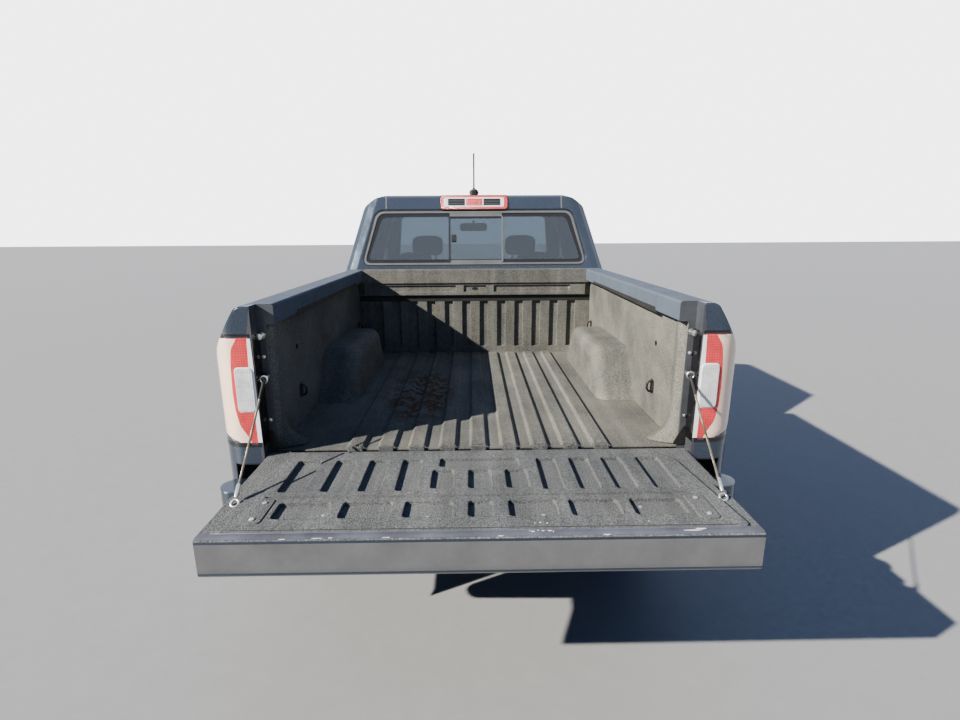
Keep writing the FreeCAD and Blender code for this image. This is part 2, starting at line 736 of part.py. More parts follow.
def bed_side_right():
    wall_x = bed_width / 2
    lip_z = rail_top_z - rail_lip_depth
    section = bed_half_section()
    outer = [(p[0], max(p[1], bed_bottom_z), *p[2:]) for p in section]
    outer = outer[:-1] + [
        (rail_inner_half_width, rail_top_z, 10),
        (rail_inner_half_width, lip_z, 6),
        (wall_x, lip_z, 0),
        (wall_x, inner_wall_bottom_z, 0),
        (780.0, inner_wall_bottom_z, 0),
        (780.0, bed_bottom_z, 0),
    ]
    hollow = [
        (sill_half_width - bed_wall, bed_bottom_z - 40, 0),
        (sill_turn_half_width - bed_wall, sill_turn_z, 25),
        (lower_side_half_width - bed_wall, lower_side_z, 500),
        (body_half_width - bed_wall, full_side_z, 900),
        (body_half_width - bed_wall, shoulder_z, 12),
        (shoulder_top_half_width - bed_wall - 2, shoulder_top_z - 4, 16),
        (904.0 - bed_wall - 2, 1210.0, 56),
        (rail_outer_half_width - bed_wall, rail_top_z - bed_wall, 26),
        (rail_inner_half_width + bed_wall, rail_top_z - bed_wall, 4),
        (rail_inner_half_width + bed_wall, lip_z + bed_wall, 0),
        (wall_x + bed_wall, lip_z + bed_wall, 0),
        (wall_x + bed_wall, bed_bottom_z - 40, 0),
    ]
    front, rear = bed_outer_front_y, bed_rear_y
    shell = prism_y(outer, rear, front)
    rounding = bed_plan(0.0)
    shell = shell.common(rounding)
    shell = shell.cut(prism_y(hollow, rear - 10, front + 10).common(bed_plan(bed_wall)))
    pillar_x = tailgate_half_width + shut_gap
    boss = box(pillar_x, pillar_x + trunnion_length, tailgate_axis_y - 26, tailgate_axis_y + 26,
               tailgate_axis_z - 22, tailgate_axis_z + 30)
    post = prism_y(outer, rear, floor_rear_y + 2 + bed_wall).common(rounding)
    pillar = post.common(box(pillar_x, pillar_x + bed_wall, rear, floor_rear_y + 10, 804, rail_top_z))
    back_plate = post.common(box(rail_inner_half_width, pillar_x + 2, floor_rear_y + 2, floor_rear_y + 10,
                                 804, rail_top_z))
    striker = rod((cable_x - 6, cable_post_y, cable_post_z), (pillar_x + 2, cable_post_y, cable_post_z), 8)
    house = wheelhouse(0.0)
    room = wheelhouse(wheelhouse_wall)
    shell = shell.cut(room)
    shell = fuse([shell, house.cut(room)])
    shell = shell.cut(arch_disc(rear_axle_y, arch_radius, wall_x + bed_wall + 20, 1000))
    shell = fuse([shell, arch_flare(rear_axle_y)])
    shell = cut(shell, [
        lamp_zone_right(), tailgate_pocket(),
        box(wall_x - 40, sill_half_width, rear - 10, rear + 70, 300, inner_wall_bottom_z + 10),
    ])
    return fuse([shell, boss, pillar, back_plate, striker]).cut(trunnion_hole())


def wheelhouse(inset):
    half = between_wheelhouses / 2
    profile = [
        (rear_axle_y - wheelhouse_foot + inset, 740.0 - inset, 0),
        (rear_axle_y - wheelhouse_foot + inset, floor_z - 4, 60),
        (rear_axle_y - wheelhouse_crest + inset, wheelhouse_top_z - inset, wheelhouse_rounding),
        (rear_axle_y + wheelhouse_crest - inset, wheelhouse_top_z - inset, wheelhouse_rounding),
        (rear_axle_y + wheelhouse_foot - inset, floor_z - 4, 60),
        (rear_axle_y + wheelhouse_foot - inset, 740.0 - inset, 0),
    ]
    far = bed_width / 2 + bed_wall + (30.0 if inset else 0.0)
    block = prism_x(profile, half + inset, far)
    rim = [e for e in block.Edges if e.BoundBox.XMax < half + inset + 1 and e.BoundBox.ZMax > floor_z]
    return block.makeFillet(wheelhouse_rounding - 10 - inset, rim)


def lamp_zone_right():
    """The corner pocket the right-hand tail lamp fills."""
    lamp = prism_y([
        (tail_lamp_inner_x, 890, 12),
        (835, 893, 30),
        (960, 938, 0),
        (960, 1215, 0),
        (900, 1266, 12),
        (tail_lamp_inner_x, 1270, 12),
    ], bed_rear_y - 10, bed_rear_y + 62)
    wrap = prism_x([(bed_rear_y - 10, 912, 0), (bed_rear_y + 150, 925, 30), (bed_rear_y + 120, 1258, 30),
                    (bed_rear_y - 10, 1262, 0)], 862, 960)
    return lamp.fuse(wrap)


def tail_lamps():
    section = bed_half_section()[:-1] + [(760, rail_top_z, 0), (760, 440, 0)]
    body = prism_y(section, bed_rear_y, bed_rear_y + 200)
    lens = body.common(bed_plan(0.0)).common(lamp_zone_right())
    return Part.makeCompound(both_sides(lens))


def tailgate_pocket():
    """Room for the shut tailgate between the corner pillars."""
    return box(0, tailgate_half_width + shut_gap, bed_rear_y - 20, floor_rear_y + 2, tailgate_axis_z - 30,
               rail_top_z + 50)


def trunnion_hole():
    return rod((tailgate_half_width - 10, tailgate_axis_y, tailgate_axis_z),
               (tailgate_half_width + trunnion_length + 2, tailgate_axis_y, tailgate_axis_z),
               trunnion_radius + pin_clearance)


def bed_floor():
    half = bed_width / 2
    base = box(-half, half, floor_rear_y + 6, bed_front_y, floor_z - floor_sheet, floor_z)
    ribs = []
    for k in range(rib_count):
        x = (k - (rib_count - 1) / 2) * rib_pitch
        section = [
            (x - rib_foot_width / 2, floor_z - 1),
            (x + rib_foot_width / 2, floor_z - 1),
            (x + rib_top_width / 2, floor_z + rib_height, 3),
            (x - rib_top_width / 2, floor_z + rib_height, 3),
        ]
        ribs.append(prism_y(section, floor_rear_y + 14, bed_front_y - 30))
    under = floor_z - floor_sheet
    sills = [box(-half + 40, half - 40, floor_rear_y + 20, floor_rear_y + 90, floor_z - 70, under)]
    for y in (rear_axle_y - 560, rear_axle_y + 500, bed_front_y - 120):
        sills.append(box(-540, 540, y - 35, y + 35, rear_rail_z[1], under))
    floor = fuse([base] + ribs + sills)
    houses = both_sides(wheelhouse(0.0))
    return cut(floor, houses)


def bed_front_wall():
    half = bed_width / 2
    wall = box(-half, half, bed_front_y, bed_outer_front_y, inner_wall_bottom_z, rail_top_z)
    lip = box(-rail_inner_half_width, rail_inner_half_width, bed_front_y - 26, bed_front_y + 10,
              rail_top_z - 42, rail_top_z)
    beam = box(-rail_inner_half_width, rail_inner_half_width, bed_front_y - 18, bed_front_y + 10, 1215, 1290)
    wall = fuse([wall, lip, beam])
    recesses = [box(x0, x1, bed_front_y - 30, bed_front_y - 10, 1236, 1276)
                for x0, x1 in ((-600, -120), (120, 600), (-70, 70))]
    ribs = [box(x - 26, x + 26, bed_front_y - 1, bed_front_y + 14, 880, 1180)
            for x in [(k - 5.5) * 112 for k in range(12)]]
    keep = [mirrored(bed_wall_zone()), bed_wall_zone()]
    return cut(wall, recesses + ribs + keep)


def bed_wall_zone():
    """What the right-hand bed side already fills of the front wall."""
    lip_z = rail_top_z - rail_lip_depth
    return box(rail_inner_half_width, 1000, bed_front_y - 100, bed_outer_front_y + 10, lip_z, rail_top_z + 10)


def pocket(x0, x1, near, far):
    """A rounded recess in the tailgate's inner face, placed from the floor's rear edge."""
    near, far = floor_rear_y + near, floor_rear_y + far
    return prism_z([(x0, far, 12), (x1, far, 12), (x1, near, 12), (x0, near, 12)],
                   tailgate_face_z - tailgate_pocket_depth, tailgate_face_z + 5)


def tailgate():
    """The tailgate lying open, hinged on trunnions at its leading edge."""
    lead_y = tailgate_axis_y + tailgate_lead
    outer_z = tailgate_axis_z - tailgate_outer_drop
    face = tailgate_face_z
    flange = face - tailgate_flange_drop
    profile = [
        (lead_y, flange, 10),
        (lead_y, outer_z + 6, 22),
        (lead_y - 160, outer_z, 200),
        (tailgate_end_y + 175, outer_z - tailgate_crown, 160),
        (tailgate_end_y + 75, tailgate_lip_z + 20, 90),
        (tailgate_end_y + 12, tailgate_lip_z, 22),
        (tailgate_end_y, tailgate_lip_z + 14, 10),
        (tailgate_end_y, flange - 4, 5),
        (tailgate_end_y + 10, flange, 6),
    ]
    half = tailgate_half_width
    slab = prism_x(profile, -half, half)
    panel = prism_z(symmetric([(608, floor_rear_y - 42, 20), (676, floor_rear_y - 112, 90),
                               (722, tailgate_end_y + 26, 14)]), face - 20, face)
    rows = [
        (-395, -485, ((80, 220), (256, 400), (435, 585))),
        (-105, -330, ((195, 262), (308, 375), (420, 490), (540, 620))),
        (-188, -318, ((83, 155),)),
    ]
    pockets = [pocket(-36, 36, -395, -485), pocket(-37, 37, -188, -318), pocket(-135, 135, -98, -165)]
    for near, far, spans in rows:
        for x0, x1 in spans:
            pockets += both_sides(pocket(x0, x1, near, far))
    groove = box(-640, 640, floor_rear_y - 366, floor_rear_y - 356, face - 5, face + 5)
    latch_y = tailgate_axis_y - (cable_post_z - tailgate_axis_z)
    latch_depth = half - cable_x + 11
    slots = both_sides(box(half - latch_depth, half + 5, latch_y - 18, latch_y + 18,
                           tailgate_axis_z - 18, face + 5))
    gate = cut(fuse([slab, panel]), pockets + [groove] + slots)
    trunnions = []
    for s in (-1, 1):
        trunnions.append(rod((s * (half - 12), tailgate_axis_y, tailgate_axis_z),
                             (s * (half + trunnion_length), tailgate_axis_y, tailgate_axis_z), trunnion_radius))
    return fuse([gate] + trunnions)


def tailgate_cables():
    top = Vec(cable_x, cable_post_y, cable_post_z)
    foot = Vec(cable_foot_x, cable_gate_y, tailgate_face_z - tailgate_flange_drop + 3)
    line = (foot - top).normalize()
    cable = rod(tuple(top + line * 8.2), tuple(foot), cable_radius)
    return Part.makeCompound(both_sides(cable))


def rear_bumper():
    y0 = bed_rear_y - 118
    plan = symmetric([(870, bed_rear_y - 4, 20), (905, bed_rear_y - 40, 40), (880, y0 + 12, 60),
                      (400, y0, 900)])
    body = prism_z(plan, 560, 758)
    hollow = prism_z(symmetric([(850, bed_rear_y + 10), (890, bed_rear_y - 36, 30), (866, y0 + 26, 50),
                                (400, y0 + 14, 900)]), 540, 744)
    body = body.cut(hollow)
    step = box(-380, 380, y0 - 10, y0 + 60, 735, 770)
    body = body.cut(step)
    pad = prism_z(symmetric([(378, bed_rear_y - 20), (378, y0 + 2)]), 722, 736)
    beam = box(-700, 700, bed_rear_y - 50, bed_rear_y - 10, 600, 700)
    mounts = [side_box(s, 355, 415, bed_rear_y - 20, bed_rear_y + 30, 645, 745) for s in (-1, 1)]
    ends = [box(s * 790 - 20, s * 790 + 20, y0 + 20, bed_rear_y - 20, 640, 680) for s in (-1, 1)]
    arms = [side_box(s, 690, 800, bed_rear_y - 50, bed_rear_y - 20, 640, 680) for s in (-1, 1)]
    receiver = box(-38, 38, y0 + 20, bed_rear_y - 20, 520, 596)
    receiver = receiver.cut(box(-25.5, 25.5, y0, bed_rear_y - 40, 532.5, 583.5))
    hanger = box(-30, 30, bed_rear_y - 48, bed_rear_y - 20, 590, 610)
    return fuse([body, pad, beam, receiver, hanger] + mounts + ends + arms)


def ladder_frame():
    rails = []
    path = [
        (nose_y - 300, front_rail_z[0]),
        (front_axle_y - 520, front_rail_z[0]),
        (front_axle_y - 640, mid_rail_z[0]),
        (rear_axle_y + 620, mid_rail_z[0]),
        (rear_axle_y + 330, rear_rail_z[0]),
        (bed_rear_y + 30, rear_rail_z[0]),
    ]
    top = [
        (bed_rear_y + 30, rear_rail_z[1]),
        (rear_axle_y + 330, rear_rail_z[1]),
        (rear_axle_y + 580, mid_rail_z[1]),
        (front_axle_y - 640, mid_rail_z[1]),
        (front_axle_y - 520, front_rail_z[1]),
        (nose_y - 300, front_rail_z[1]),
    ]
    for s in (-1, 1):
        x0, x1 = sorted((s * rail_inner_x, s * rail_outer_x))
        rails.append(prism_x(path + top, x0, x1))
    members = [
        box(-360, 360, nose_y - 420, nose_y - 340, 480, 560),
        box(-360, 360, front_axle_y - 60, front_axle_y + 60, 470, 520),
        box(-360, 360, front_axle_y - 1000, front_axle_y - 920, 450, 490),
        box(-360, 360, rear_axle_y + 700, rear_axle_y + 780, 480, 560),
        box(-360, 360, rear_axle_y - 560, rear_axle_y - 500, 655, 720),
        box(-360, 360, bed_rear_y + 40, bed_rear_y + 100, 655, 720),
    ]
    mounts = []
    for s in (-1, 1):
        for y in (front_axle_y - 700, rear_axle_y + 1780):
            mounts.append(side_box(s, rail_outer_x, 560, y - 45, y + 45, 500, 585))
        mounts.append(side_box(s, rail_outer_x, 560, rear_axle_y + 620, rear_axle_y + 680, 509, 570))
        mounts.append(side_box(s, rail_outer_x, 560, rear_axle_y - 720, rear_axle_y - 660, 534, 680))
        mounts.append(side_box(s, 560, 568, rear_axle_y - 720, rear_axle_y - 660, 500, 600))
        mounts.append(side_box(s, 220, rail_inner_x, front_axle_y + 100, front_axle_y + 180, 530, 560))
    return fuse(rails + members + mounts)


def tyre(centre):
    half = tyre_width / 2
    section = [
        (-half + 30, tyre_radius), (half - 30, tyre_radius), (half - 6, tyre_radius - 22),
        (half, tyre_radius - 70), (half - 22, rim_radius), (-half + 22, rim_radius),
        (-half, tyre_radius - 70), (-half + 6, tyre_radius - 22),
    ]
    return revolve_x(section, centre)


def wheel(centre, side):
    """Rim, spokes, hub and lugs; side is +1 when the outer face points to +X."""
    half = tyre_width / 2 - 22
    rim = [
        (-half, rim_radius), (half, rim_radius), (half, rim_radius - 12), (half - 30, rim_radius - 26),
        (-half + 30, rim_radius - 30), (-half, rim_radius - 14),
    ]
    parts = [revolve_x(rim, centre)]
    x0 = 40.0
    for k in range(6):
        spoke = box(x0, x0 + 34, -30, 30, 60, rim_radius - 22)
        spoke.rotate(Vec(0, 0, 0), Vec(1, 0, 0), 60 * k)
        parts.append(moved(spoke, centre, side))
    disc = Part.makeCylinder(88, 40, Vec(x0 - 4, 0, 0), Vec(1, 0, 0))
    hub = Part.makeCylinder(62, 66, Vec(-26, 0, 0), Vec(1, 0, 0))
    parts += [moved(disc, centre, side), moved(hub, centre, side)]
    for k in range(6):
        angle = math.radians(60 * k + 30)
        lug = Part.makeCylinder(11, 28, Vec(x0 + 30, 60 * math.cos(angle), 60 * math.sin(angle)), Vec(1, 0, 0))
        parts.append(moved(lug, centre, side))
    bore = Part.makeCylinder(spindle_radius + pin_clearance, 90, Vec(-40, 0, 0), Vec(1, 0, 0))
    return fuse(parts).cut(moved(bore, centre, side))


def moved(shape, centre, side):
    copy = shape if side > 0 else mirrored(shape)
    copy = copy.copy()
    copy.translate(Vec(*centre))
    return copy


def knuckle_right():
    """Upright with its spindle, turning about the kingpin line."""
    c = Vec(0, front_axle_y, axle_z)
    spindle = rod((kingpin_x - 20, c.y, c.z), (wheel_x + 40, c.y, c.z), spindle_radius)
    upright = box(kingpin_x - 26, kingpin_x + 26, c.y - 30, c.y + 30, c.z - knuckle_half_height,
                  c.z + knuckle_half_height)
    pins = [rod((kingpin_x, c.y, c.z + s * knuckle_half_height - s * 5),
                (kingpin_x, c.y, c.z + s * (knuckle_half_height + 34)), 14) for s in (-1, 1)]
    arm = box(kingpin_x - 40, kingpin_x, c.y - 120, c.y - 20, c.z - 40, c.z - 15)
    return fuse([spindle, upright, arm] + pins)


def front_arms():
    """Upper and lower arms, with the eyes that hold the kingpin ends, and the steering rack."""
    parts = []
    for s in (-1, 1):
        for z, inner in ((axle_z - 140, 330), (axle_z + 140, rail_outer_x)):
            eye = Part.makeCylinder(34, 24, Vec(s * kingpin_x, front_axle_y, z - 12))
            plan = [(s * kingpin_x, front_axle_y + 26), (s * inner, front_axle_y + 150),
                    (s * inner, front_axle_y - 150), (s * kingpin_x, front_axle_y - 26)]
            arm = prism_z(plan, z - 12, z + 12)
            gap = prism_z([(s * (kingpin_x - 90), front_axle_y + 40), (s * (inner + 50), front_axle_y + 90),
                           (s * (inner + 50), front_axle_y - 90), (s * (kingpin_x - 90), front_axle_y - 40)],
                          z - 20, z + 20)
            bore = Part.makeCylinder(14 + pin_clearance, 60, Vec(s * kingpin_x, front_axle_y, z - 30))
            parts.append(fuse([eye, arm]).cut(gap).cut(bore))
    return parts


def front_suspension():
    parts = front_arms()
    lower_cross = box(-345, 345, front_axle_y - 150, front_axle_y + 150, axle_z - 152, axle_z - 110)
    posts = [side_box(s, 300, rail_inner_x, front_axle_y - 60, front_axle_y + 60,
                 axle_z - 130, 470) for s in (-1, 1)]
    return fuse(parts + [lower_cross] + posts)


def rear_axle():
    end = wheel_x + 40
    casing = revolve_x([
        (-end, 0), (-end, spindle_radius), (-690, spindle_radius), (-690, 150), (-640, 150), (-640, 42),
        (-90, 42), (-20, 120), (20, 140), (100, 140), (140, 120), (210, 42),
        (640, 42), (640, 150), (690, 150), (690, spindle_radius), (end, spindle_radius), (end, 0),
    ], (0, rear_axle_y, axle_z))
    nose = rod((60, rear_axle_y, axle_z), (60, rear_axle_y + 240, axle_z + 10), 55)
    return fuse([casing, nose])


def leaf_springs():
    springs = []
    for s in (-1, 1):
        x0, x1 = sorted((s * (leaf_x - 32), s * (leaf_x + 32)))
        eye_f, eye_r = (rear_axle_y + 650, 475.0), (rear_axle_y - 690, 500.0)
        mid = axle_z + 42
        low = [eye_f, (rear_axle_y + 80, mid, 400), (rear_axle_y - 80, mid, 400), eye_r]
        high = [(p[0], p[1] + 34) + tuple(p[2:]) for p in reversed(low)]
        springs.append(prism_x(low + high, x0, x1))
    return Part.makeCompound(springs)


def seats():
    fronts = []
    for x in (-370.0, 370.0):
        y = door_split_y + 230
        base = box(x - 180, x + 180, y - 200, y + 180, cabin_floor_z, 820)
        cushion = prism_x([(y - 260, 800, 30), (y + 280, 840, 50), (y + 280, 950, 50), (y - 240, 915, 30)],
                          x - 255, x + 255)
        back = prism_x([(y - 190, 850, 40), (y - 390, 1380, 50), (y - 270, 1400, 50), (y - 60, 900, 40)],
                       x - 250, x + 250)
        rest = prism_x([(y - 395, 1415, 30), (y - 420, 1570, 35), (y - 330, 1580, 35), (y - 290, 1420, 30)],
                       x - 125, x + 125)
        posts = [rod((x + d, y - 325, 1340), (x + d, y - 355, 1480), 8) for d in (-60, 60)]
        fronts.append(fuse([base, cushion, back, rest] + posts))
    return Part.makeCompound(fronts)


def rear_seat():
    y = cab_rear_y + back_wall
    base = box(-600, 600, y + 10, y + 470, cabin_floor_z, 830)
    cushion = prism_x([(y + 150, 815, 30), (y + 620, 850, 50), (y + 620, 950, 50), (y + 150, 910, 30)],
                      -640, 640)
    back = prism_x([(y + 230, 860, 40), (y + 130, 1330, 40), (y + 45, 1330, 20), (y + 8, 1230, 0),
                    (y + 8, 860, 0)], -640, 640)
    rests = [prism_x([(y + 128, 1310, 20), (y + 140, 1480, 30), (y + 84, 1480, 30), (y + 50, 1310, 20)],
                     x - 120, x + 120) for x in (-400, 400)]
    return fuse([base, cushion, back] + rests)


def dashboard():
    y = cowl_y - back_wall
    profile = [(y, 860, 0), (y, 1140, 0), (y - 120, 1150, 60), (y - 380, 1110, 60), (y - 470, 1010, 50),
               (y - 400, 860, 60), (y - 300, 760, 60), (y - 60, 760, 0), (y, 760, 0)]
    dash = prism_x(profile, -735, 735)
    console = prism_x([(y - 380, cabin_floor_z), (y - 1250, cabin_floor_z), (y - 1250, 900, 60),
                       (y - 800, 900, 60), (y - 480, 820, 80), (y - 380, 870, 0)], -110, 110)
    centre = Vec(*steering_wheel_centre)
    tilt = math.radians(steering_tilt_deg)
    along = Vec(0, math.cos(tilt), -math.sin(tilt))
    column = rod(tuple(centre + along * 34), tuple(centre + along * 260), 38)
    bore = rod(tuple(centre - along * 10), tuple(centre + along * 124), 12 + pin_clearance)
    return fuse([dash, console, column]).cut(bore)


def steering_wheel():
    rim = Part.makeTorus(steering_rim_radius, 16, Vec(0, 0, 0), Vec(0, 0, 1))
    hub = Part.makeCylinder(62, 34, Vec(0, 0, -30))
    spokes = [
        box(-steering_rim_radius, steering_rim_radius, -18, 18, -18, -2),
        box(-18, 18, -steering_rim_radius, 0, -18, -2),
    ]
    shaft = Part.makeCylinder(12, 120, Vec(0, 0, -120))
    whole = fuse([rim, hub, shaft] + spokes)
    whole.rotate(Vec(0, 0, 0), Vec(1, 0, 0), 90 - steering_tilt_deg)
    whole.translate(Vec(*steering_wheel_centre))
    return whole


def engine():
    block = box(-260, 260, cowl_y + 30, nose_y - 340, 560, 1000)
    gearbox = box(-130, 130, cowl_y - 800, cowl_y + 40, 490, 580)
    shaft = rod((0, cowl_y - 790, 500), (55, rear_axle_y + 241, axle_z + 14), 34)
    return fuse([block, gearbox, shaft])


def exhaust():
    pipe = bar_along([(290, cowl_y + 100, 640), (290, cowl_y + 70, 400), (235, rear_axle_y + 1560, 400),
                      (235, rear_axle_y + 900, 400), (235, rear_axle_y + 330, 470), (235, rear_axle_y + 150, 600),
                      (235, rear_axle_y - 90, 600), (590, rear_axle_y - 330, 590), (640, rear_axle_y - 620, 520),
                      (640, bed_rear_y + 40, 500)], 30, 90)
    can = rod((235, rear_axle_y + 950, 400), (235, rear_axle_y + 1500, 400), 95)
    hanger = box(568, 622, rear_axle_y - 702, rear_axle_y - 678, 506, 524)
    return fuse([pipe, can, hanger])


def fuel_tank():
    tank = box(-680, -rail_outer_x, rear_axle_y + 720, rear_axle_y + 1700, 330, 565)
    return tank.makeFillet(40, [e for e in tank.Edges if abs(e.BoundBox.YLength) > 500])


def spare_wheel():
    y = rear_axle_y - 600 - 40
    ring = Part.makeCylinder(340, 190, Vec(0, y + 60, 440))
    ring = ring.cut(Part.makeCylinder(205, 220, Vec(0, y + 60, 430)))
    plate = Part.makeCylinder(206, 20, Vec(0, y + 60, 560))
    hoist = Part.makeCylinder(30, 80, Vec(0, y + 60, 575))
    return fuse([ring, plate, hoist])


def high_lamp():
    foot, head = high_lamp_z
    face = prism_y(symmetric([(high_lamp_half_width, foot, 18), (high_lamp_half_width, head, 22)]),
                   rear_y(foot) - 50, rear_y(head) + 100)
    slab = prism_x([(rear_y(foot) - 12, foot), (rear_y(foot) + 38, foot), (rear_y(head) + 38, head),
                    (rear_y(head) - 4, head)], -high_lamp_half_width, high_lamp_half_width)
    return face.common(slab)


def antenna():
    base = prism_z([(-30, cab_rear_y + 230, 20), (30, cab_rear_y + 230, 20), (18, cab_rear_y + 330, 15),
                    (-18, cab_rear_y + 330, 15)], roof_z - 20, roof_z + 16)
    mast = rod((0, cab_rear_y + 300, roof_z + 6), (0, cab_rear_y + 190, roof_z + 240), 5)
    return fuse([base, mast])


def build():
    """Every named piece of the truck."""
    outer = cab_volume(0, 0, 0, 0, 0)
    inside = cab_volume(door_thickness, frame_thickness, 0, 0, 0)
    nose = front_volume(0, 0)
    lamp, grille_zone, bumper_zone = front_zones()
    pieces = {}
    shell = cab_shell(outer, cabin())
    lamp_high = high_lamp()
    mast = antenna()
    pieces["cab_shell"] = shell.cut(lamp_high).cut(mast)
    pieces["high_lamp"] = lamp_high
    pieces["antenna"] = mast
    glass = cab_volume(*([glass_recess] * 4), 0).cut(cab_volume(*([glass_recess + glass_thickness] * 4), 0))
    screen = glass.common(prism_y(grown(screen_outline, glass_lap), cowl_y - 900, cowl_y + 100))
    back_pane = glass.common(prism_y(grown(rear_glass_outline, glass_lap), cab_rear_y - 50, cab_rear_y + 400))
    pieces["windshield"] = whole(screen)
    pieces["rear_glass"] = whole(back_pane)
    front, front_glass = door(outer, inside, front_door_outline, front_window_outline, front_door_front_y)
    back, back_glass = door(outer, inside, rear_door_outline, rear_window_outline, door_split_y - shut_gap / 2)
    side = {
        "door_front": front, "door_front_glass": front_glass, "door_rear": back, "door_rear_glass": back_glass,
        "mirror": mirror_right().cut(front), "fender": fender_right(nose, lamp, grille_zone, bumper_zone),
        "bed_side": bed_side_right(), "knuckle": knuckle_right(),
    }
    for name, shape in side.items():
        pieces[name + "_right"] = shape
        pieces[name + "_left"] = mirrored(shape)
    pieces["hood"] = hood(nose)
    pieces["grille"] = grille_piece(grille_zone)
    pieces["headlamps"] = headlamps(lamp)
    pieces["front_bumper"] = front_bumper(bumper_zone)
    pieces["front_structure"] = front_structure()
    pieces["bed_floor"] = bed_floor()
    pieces["bed_front_wall"] = bed_front_wall()
    pieces["tail_lamps"] = tail_lamps()
    pieces["tailgate"] = tailgate()
    pieces["tailgate_cables"] = tailgate_cables()
    pieces["rear_bumper"] = rear_bumper()
    pieces["frame"] = ladder_frame()
    pieces["front_suspension"] = front_suspension()
    pieces["rear_axle"] = rear_axle()
    pieces["leaf_springs"] = leaf_springs()
    for name, y in (("front", front_axle_y), ("rear", rear_axle_y)):
        for label, s in (("right", 1), ("left", -1)):
            centre = (s * wheel_x, y, axle_z)
            pieces["tyre_%s_%s" % (name, label)] = tyre(centre)
            pieces["wheel_%s_%s" % (name, label)] = wheel(centre, s)
    pieces["front_seats"] = seats()
    pieces["rear_seat"] = rear_seat()
    pieces["dashboard"] = dashboard()
    pieces["steering_wheel"] = steering_wheel()
    pieces["engine"] = engine()
    pieces["exhaust"] = exhaust()
    pieces["fuel_tank"] = fuel_tank()
    pieces["spare_wheel"] = spare_wheel()
    return pieces


def export(pieces):
    os.makedirs("parts", exist_ok=True)
    for node, shape in pieces.items():
        shape.exportStep("parts/" + node + ".step")
        print(node, shape.isValid(), len(shape.Solids), round(shape.Volume / 1e6, 2))


export(build())
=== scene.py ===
# Looks for the pickup truck: paint, sprayed liner, lamps, glass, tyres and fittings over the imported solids.
# Metres, +X right, +Y forward, +Z up.
import bpy
import bmesh
import math
from mathutils import Matrix, Vector
from mathutils.bvhtree import BVHTree


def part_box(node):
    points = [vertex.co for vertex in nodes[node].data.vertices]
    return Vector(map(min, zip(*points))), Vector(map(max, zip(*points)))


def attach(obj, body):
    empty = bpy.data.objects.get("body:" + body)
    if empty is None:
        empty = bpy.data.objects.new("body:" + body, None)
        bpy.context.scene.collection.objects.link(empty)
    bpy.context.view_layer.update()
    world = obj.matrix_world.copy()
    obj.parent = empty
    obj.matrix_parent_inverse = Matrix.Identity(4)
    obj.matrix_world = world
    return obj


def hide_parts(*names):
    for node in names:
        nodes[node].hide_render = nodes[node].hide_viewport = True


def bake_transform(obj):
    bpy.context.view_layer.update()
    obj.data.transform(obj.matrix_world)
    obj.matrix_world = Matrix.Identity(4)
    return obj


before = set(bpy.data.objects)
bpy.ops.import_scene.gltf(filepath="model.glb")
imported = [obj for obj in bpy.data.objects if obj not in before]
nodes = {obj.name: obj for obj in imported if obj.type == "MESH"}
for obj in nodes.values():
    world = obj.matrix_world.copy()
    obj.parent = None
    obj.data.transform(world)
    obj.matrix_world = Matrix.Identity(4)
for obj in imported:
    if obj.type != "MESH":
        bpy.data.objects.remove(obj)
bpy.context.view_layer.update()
print("frame loaded:", len(nodes), "nodes")


def middleOf(name, axis):
    low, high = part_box(name)
    return (low[axis] + high[axis]) / 2


# Places taken from the solids
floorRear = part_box("bed_floor")[0].y - 0.006
floorTop = 0.838
bulkheadY = floorRear + 1.567
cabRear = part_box("cab_shell")[0].y
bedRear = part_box("tail_lamps")[0].y
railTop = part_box("bed_side_right")[1].z
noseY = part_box("front_bumper")[1].y
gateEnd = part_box("tailgate")[0].y
frontAxle, rearAxle = middleOf("wheel_front_right", 1), middleOf("wheel_rear_right", 1)
axleHeight, wheelX = middleOf("wheel_rear_right", 2), middleOf("tyre_rear_right", 0)
cowlY = frontAxle - 0.454
cab = {"beltZ": 1.262, "rearLean": 0.305, "beltHalfWidth": 0.884, "sideLean": 0.30, "screenRun": 1.097}
sides = (("right", 1), ("left", -1))
acrossX, alongY, upZ = (1, 0, 0), (0, 1, 0), (0, 0, 1)


def pair(name):
    return [name + "_right", name + "_left"]


def evenRun(first, run, count):  # even places along a run, both ends with them
    return [first + run * k / count for k in range(count + 1)]


def rearFace(z):
    return cabRear + max(0.0, z - cab["beltZ"]) * cab["rearLean"]


def screenFace(z):
    return cowlY - (z - 1.150) * cab["screenRun"]


# Material nodes: a value is a number, a colour or the socket that feeds it
def feed(socket, value):
    if isinstance(value, bpy.types.NodeSocket):
        socket.id_data.links.new(value, socket)
    elif isinstance(value, tuple) and socket.type == "RGBA":
        socket.default_value = (*value[:3], 1)
    else:
        socket.default_value = value


def newNode(tree, kind, inputs, **settings):
    node = tree.nodes.new(kind)
    for key, value in settings.items():
        setattr(node, key, value)
    for name, value in inputs.items():
        feed(node.inputs[name], value)
    return node


def treeOf(*values):
    return next(value.id_data for value in values if isinstance(value, bpy.types.NodeSocket))


def objectCoords(tree, scale=(1, 1, 1), rotation=(0, 0, 0)):
    coords = tree.nodes.new("ShaderNodeTexCoord").outputs["Object"]
    inputs = {"Vector": coords, "Scale": scale, "Rotation": rotation}
    return newNode(tree, "ShaderNodeMapping", inputs).outputs["Vector"]


def newMaterial(name, rotation=(0, 0, 0)):
    material = bpy.data.materials.new(name)
    material.use_nodes = True
    tree = material.node_tree
    return material, tree.nodes["Principled BSDF"], objectCoords(tree, rotation=rotation)


